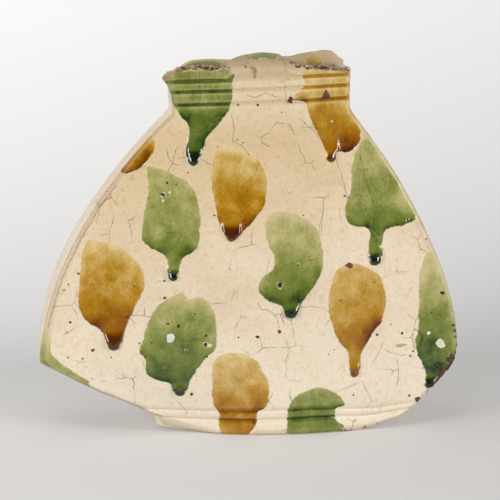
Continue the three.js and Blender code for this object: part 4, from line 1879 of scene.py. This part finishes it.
@dataclass
class Studio:
    """A pale paper sweep, soft lamps and the camera of the portrait.

    Lengths are in metres, but those of the lens, the sensor and the paper's grain are in millimetres.
    """

    target: Place = (0.0, 0.0, 0.126)
    azimuth: float = -6.5
    elevation: float = 9.0
    distance: float = 1.5
    lens: float = 156.8
    sensor: float = 36.0
    view_end: float = 50.0
    aim_right: float = 0.0021
    aim_down: float = 0.0048
    lamps: tuple[Lamp, ...] = (
        Lamp("overhead", (-0.45, -0.3, 1.7), (1.8, 1.5), 10.5),
        Lamp("left_bank", (-1.15, -0.9, 0.42), (0.4, 0.8), 13.5),
        Lamp("right_bank", (1.15, -0.9, 0.42), (0.4, 0.8), 13.5),
    )
    room: float = 0.008
    ceiling: float = 0.0475
    backdrop: float = 0.75
    floor_size: float = 7.0
    sweep_back: float = 1.1
    sweep_rise: float = 3.2
    sweep_radius: float = 0.9
    sweep_segments: int = 24
    edge_slack: float = 0.01
    paper_tones: tuple[Colour, Colour] = (tint(194, 191, 188), tint(199, 196, 193))
    # Painted shade: the table darkens in front of the vase, as an unlit studio front does, and the glaze
    # mirrors it.
    front_table_shade: Colour = tint(104, 102, 100)
    front_shade_edge: Plan = (-0.8, -0.4)
    paper_grain: Cloud = Cloud(1.2, 2)
    paper_tooth: float = 0.05
    paper_roughness: float = 0.9
    paper_gloss: float = 0.1
    table_glow: float = 0.25
    rise_glow: float = 0.62
    rise_bend: float = 0.5
    slant: Span = (-0.7, 0.7, -0.084, 0.084)
    glow_edge: Plan = (-0.5, -0.22)

    def build(self) -> bpy.types.Object:
        """Sets up the world, lamps, camera and sweep.

        Returns:
            The sweep, which is a stage and not a part of the vase.
        """
        bpy.context.scene.view_settings.view_transform = "Standard"
        self.fill_air()
        for lamp in self.lamps:
            lamp.hang(self.target)
        self.place_camera()
        sweep = self.paper_sweep()
        sweep.data.materials.append(self.paper())
        return sweep

    def fill_air(self) -> None:
        """Makes a dim room that is pale where it is looked at, and where glaze mirrors what lies behind."""
        air = Air("studio_air")
        axes = air.axes()
        levels = {"Value": axes["Z"], "To Min": self.room, "To Max": self.ceiling}
        dim = air.add("ShaderNodeMapRange", levels).outputs["Result"]
        shown = air.seen(air.sum("GREATER_THAN", axes["Y"], 0.0))
        strength = air.add("ShaderNodeMix", {0: shown, 2: dim, 3: self.backdrop}).outputs[0]
        background = air.tree.nodes["Background"]
        background.inputs["Color"].default_value = (1.0, 1.0, 1.0, 1.0)
        air.tree.links.new(strength, background.inputs["Strength"])

    def place_camera(self) -> None:
        """Puts the camera where the portrait was taken from."""
        azimuth, elevation = math.radians(self.azimuth), math.radians(self.elevation)
        back = Vector((math.sin(azimuth) * math.cos(elevation), -math.cos(azimuth) * math.cos(elevation),
                       math.sin(elevation)))
        right = (-back).cross(Vector((0, 0, 1))).normalized()
        up = right.cross(-back)
        eye = Vector(self.target) + back * self.distance
        aim = Vector(self.target) + right * self.aim_right - up * self.aim_down
        turn = (aim - eye).to_track_quat("-Z", "Y").to_euler()
        bpy.ops.object.camera_add(location=eye, rotation=turn)
        camera = bpy.context.object
        camera.data.lens = self.lens
        camera.data.sensor_width = self.sensor
        camera.data.clip_end = self.view_end
        bpy.context.scene.camera = camera

    def paper_sweep(self) -> bpy.types.Object:
        """Models a sheet of paper that curves up behind the vase.

        Returns:
            The sheet.
        """
        middle = self.sweep_back - self.floor_size / 2
        far = self.sweep_back - self.edge_slack
        bpy.ops.object.select_all(action="DESELECT")
        bpy.ops.mesh.primitive_plane_add(size=self.floor_size, location=(0, middle, 0))
        sweep = bpy.context.object
        sweep.name = "paper_sweep"
        bpy.ops.object.transform_apply(location=True, rotation=True, scale=True)
        self.select_edges(sweep, lambda a, b: min(a.y, b.y) > far)
        bpy.ops.mesh.extrude_region_move(TRANSFORM_OT_translate={"value": (0, 0, self.sweep_rise)})
        bpy.ops.object.mode_set(mode="OBJECT")
        self.select_edges(sweep, lambda a, b: min(a.y, b.y) > far and max(a.z, b.z) < self.edge_slack)
        bpy.ops.mesh.bevel(offset=self.sweep_radius, segments=self.sweep_segments, affect="EDGES")
        bpy.ops.object.mode_set(mode="OBJECT")
        smooth_shading(sweep.data)
        return sweep

    def select_edges(self, piece: bpy.types.Object, wanted: Callable[[Vector, Vector], bool]) -> None:
        """Goes into edit mode with only some edges selected.

        Args:
            piece: the object to edit.
            wanted: says from an edge's two ends whether it is selected.
        """
        only(piece)
        bpy.context.tool_settings.mesh_select_mode = (False, True, False)
        bpy.ops.object.mode_set(mode="EDIT")
        bpy.ops.mesh.select_all(action="DESELECT")
        shape = bmesh.from_edit_mesh(piece.data)
        for edge in shape.edges:
            edge.select = wanted(edge.verts[0].co, edge.verts[1].co)
        bmesh.update_edit_mesh(piece.data)

    def paper(self) -> bpy.types.Material:
        """Pale paper, brighter to the eye up the sweep than on the table, with painted shade in front of the
        vase, and clear from behind.

        Returns:
            The finished material.
        """
        sketch = Sketch("paper")
        grain = sketch.noise(self.paper_grain)
        colour = sketch.mix(grain, *self.paper_tones)
        axes = sketch.axes()
        # Painted shade on the table in front of the vase.
        colour = sketch.mix(sketch.step(axes["Y"], *self.front_shade_edge), self.front_table_shade, colour)
        bump = sketch.add("ShaderNodeBump", {"Height": grain, "Distance": self.paper_tooth * MM})
        shader = sketch.add("ShaderNodeBsdfPrincipled", {
            "Base Color": colour, "Roughness": self.paper_roughness, "Specular IOR Level": self.paper_gloss,
            "Normal": bump.outputs["Normal"],
        })
        rise = sketch.sum("POWER", sketch.sum("MAXIMUM", axes["Z"], 0.0), self.rise_bend)
        glow = sketch.sum("ADD", sketch.sum("MULTIPLY", rise, self.rise_glow), self.table_glow)
        glow = sketch.sum("SUBTRACT", glow, sketch.step(axes["X"], *self.slant))
        glow = sketch.sum("MULTIPLY", sketch.seen(sketch.step(axes["Y"], *self.glow_edge)), glow)
        light = sketch.add("ShaderNodeEmission", {"Strength": glow})
        both = sketch.add("ShaderNodeAddShader", {0: shader.outputs[0], 1: light.outputs[0]})
        clear = sketch.add("ShaderNodeBsdfTransparent", {})
        back = sketch.add("ShaderNodeNewGeometry", {}).outputs["Backfacing"]
        sheet = sketch.add("ShaderNodeMixShader", {0: back, 1: both.outputs[0], 2: clear.outputs[0]})
        sketch.add("ShaderNodeOutputMaterial", {"Surface": sheet.outputs[0]})
        return sketch.material


# The bare clay of the hidden pieces and of the breaks. The dark break also gives painted shade: dark crumbs
# that stand for the torn rim's hollows.
BARE_CLAY = ClayFinish(tint(176, 112, 78), tint(142, 82, 54), tint(96, 54, 36))
PALE_BREAK = ClayFinish(
    tint(214, 190, 150), tint(150, 122, 84), tint(96, 74, 50), lump=5.0, hole_level=0.62, roughness=0.9,
)
DARK_BREAK_AND_HOLE_SHADE = ClayFinish(tint(92, 68, 46), tint(54, 40, 28), tint(30, 22, 16), lump=3.0, roughness=0.85)
PINK_BREAK = ClayFinish(tint(206, 170, 140), tint(178, 136, 108), tint(104, 76, 58), lump=4.0)

# The crumbs of the torn rim: their name, the ends of their stretch, how many they are, their finish and how
# far below the rim they lie, in millimetres. The dark crumbs are painted shade in the rim's hollows.
RIM_BREAKS = (
    ("left_rim_flakes", (-50, -15), 15, PALE_BREAK, (0.0, 2.6)),
    ("right_rim_flakes", (27, 68), 15, PALE_BREAK, (0.0, 2.6)),
    # Painted shade: dark crumbs in the torn rim's hollows.
    ("left_rim_hollow_shade", (-50, -15), 9, DARK_BREAK_AND_HOLE_SHADE, (1.0, 2.4)),
    ("right_rim_hollow_shade", (30, 68), 8, DARK_BREAK_AND_HOLE_SHADE, (1.0, 2.4)),
)
RIM_BREAK_SEED = 11
RIM_END = TornClay(
    "left_rim_end",
    ((-61, 241), (-60, 242), (-58, 243.5), (-56, 245), (-54, 247), (-52, 248.5), (-49, 250), (-47, 250)),
    PINK_BREAK, size=(3.2, 4.6), depth_spread=4.0, seed=6, lift=-0.5,
)
BROKEN_CORNER = GlazeDab("broken_corner", Glaze.GREEN, (
    (144, 57), (138, 53), (132, 50), (133, 46), (128, 38), (125, 31), (127, 29), (134, 36), (143, 44),
    (148, 50),
), film=1.5, roll=0.0)
CORNER_GRIT = 2.6
CORNER_ROUGHNESS = 1.6

SLABS = (
    Slab("front_wall", facing=-1.0, torn_spans=((-56, -14), (24, 70)), heel_line=((-66, 14), (-18, 0)),
         rim_line=FRONT_RIM),
    Slab("back_wall", facing=1.0, rim_shift=BACK_RIM_SHIFT),
)
STRIPS = ("left_side_wall", "right_side_wall", "left_underside", "right_underside")
STRIP_LEVELS = 3
HIDDEN_PIECES = (
    "base_slab", "left_seam_coil", "left_underside_coil", "base_coil", "right_underside_coil",
    "right_seam_coil",
)
HIDDEN_LUMPS = 14.0


@dataclass
class Vase:
    """The whole vase: its clay, its glaze and the marks of its firing. Lengths are in millimetres."""

    pieces: list[bpy.types.Object] = field(default_factory=list)
    walls: dict[str, bpy.types.Object] = field(default_factory=dict)
    by_face: dict[Face, list[bpy.types.Object]] = field(default_factory=dict)
    seam_heights: Plan = (74, 172)
    seam_stride: float = 6.0
    seam_inset: float = 0.4
    seam_share: float = 0.9
    seam_width: float = 0.9

    def keep(self, piece: bpy.types.Object, finish: bpy.types.Material) -> None:
        """Dresses a piece, and puts it on the vase's body.

        Args:
            piece: the finished piece.
            finish: its material.
        """
        piece.data.materials.clear()
        piece.data.materials.append(finish)
        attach(piece, BODY)
        self.pieces.append(piece)
        log.info("%s: %d faces", piece.name, len(piece.data.polygons))

    def build_clay(self) -> None:
        """Makes the slabs, strips and coils that stand for the solids."""
        slip = SLIP.material("glazed_slip")
        bare = BARE_CLAY.material("bare_clay")
        for maker in (*SLABS, *(ClayPiece(node, levels=STRIP_LEVELS) for node in STRIPS)):
            self.add_clay(maker, slip)
        for node in HIDDEN_PIECES:
            self.add_clay(ClayPiece(node, lump_size=HIDDEN_LUMPS), bare)

    def add_clay(self, maker: ClayPiece, finish: bpy.types.Material) -> None:
        """Builds one piece of clay in the place of its solid.

        Args:
            maker: the piece to build.
            finish: its material.
        """
        piece = maker.build()
        self.keep(piece, finish)
        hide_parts(maker.node)
        self.walls[maker.node] = piece

    def build_glaze(self) -> None:
        """Makes every dab of glaze, the seen ones and those of the unseen sides."""
        finishes = {glaze: glaze.value[1].material(glaze.value[0], SLIP) for glaze in Glaze}
        unseen = [dab_named(model).moved(*place) for model, *place in MOVED_DABS]
        for dab in (*FRONT_DABS, *unseen):
            piece = dab.build(self.walls[dab.face.value.node])
            self.keep(piece, finishes[dab.glaze])
            self.by_face.setdefault(dab.face, []).append(piece)

    def build_marks(self) -> None:
        """Lays the pinholes with their pale rims and painted highlights, iron spots, stains, bare spots and
        painted glints, cracks and the seam's line on the front.
        """
        front = [self.walls["front_wall"], *self.by_face[Face.FRONT]]
        side = Face.FRONT
        seam = (self.seam_path(),)
        for marks in (
            # Pale pinhole rims, partly painted highlights.
            FiringMarksAndGlints("front_pinhole_rims_and_glints", MarkKind.RIM, side, PIT_RIMS_AND_GLINTS, proud=0.05, seed=9),
            FiringMarksAndGlints("front_pinholes", MarkKind.PIT, side, PITS, proud=0.16),
            FiringMarksAndGlints("front_iron_spots", MarkKind.IRON, side, IRONS, (), IRON_PATCHES, proud=0.2, seed=8),
            FiringMarksAndGlints("front_stains", MarkKind.STAIN, side, STAINS, (), STAIN_PATCHES, proud=0.2, seed=12),
            FiringMarksAndGlints("front_bare_spots_and_glints", MarkKind.BARE, side, BARES_AND_GLINTS, (), BARE_PATCHES, seed=2),
            FiringMarksAndGlints("front_cracks", MarkKind.CRACK, side, lines=CRACKS, seed=4),
            FiringMarksAndGlints("front_seam", MarkKind.SEAM, side, lines=seam, line_width=self.seam_width),
        ):
            self.keep(marks.build(front), marks.kind.value.material(marks.name))

    def seam_path(self) -> tuple[Plan, ...]:
        """The front's left arris between two heights, where the seam of the side strip shows.

        Returns:
            Its places on the front, from the lowest up.
        """
        mesh = self.walls["front_wall"].data
        arris = points_of(mesh)[stored(mesh, "seam") > self.seam_share] / MM
        path = []
        for up in np.arange(*self.seam_heights, self.seam_stride):
            beside = arris[np.abs(arris[:, 2] - up) < self.seam_stride / 2, 0]
            path.append((float(np.median(beside)) + self.seam_inset, float(up)))
        return tuple(path)

    def build_breaks(self) -> None:
        """Crumbles the torn rim, whose dark crumbs are painted shade in its hollows, and the broken corner.
        """
        draw = random.Random(RIM_BREAK_SEED)
        front = self.walls["front_wall"]
        crest = rim_height(points_of(front.data))
        for name, (low, high), count, finish, below in RIM_BREAKS:
            across = [low + (high - low) * (index + draw.random()) / count for index in range(count)]
            places = tuple((x, float(crest(x)) - draw.uniform(*below)) for x in across)
            self.keep(TornClay(name, places, finish).build(front), finish.material(name))
        self.keep(RIM_END.build(front), RIM_END.finish.material(RIM_END.name))
        broken = BROKEN_CORNER.build(front)
        grit = bpy.data.textures.new("broken_grit", "CLOUDS")
        grit.noise_scale = CORNER_GRIT * MM
        apply_modifier(broken, "DISPLACE", texture=grit, texture_coords="LOCAL", mid_level=0.5,
                       strength=CORNER_ROUGHNESS * MM)
        self.keep(broken, DARK_BREAK_AND_HOLE_SHADE.material(BROKEN_CORNER.name))


def main() -> None:
    """Builds the studio and the vase in order."""
    logging.basicConfig(level=logging.INFO, format="%(name)s: %(message)s")
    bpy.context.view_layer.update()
    Studio().build()
    vase = Vase()
    vase.build_clay()
    vase.build_glaze()
    vase.build_marks()
    vase.build_breaks()
    log.info("%d pieces", len(vase.pieces))


if __name__ == "__main__":
    main()
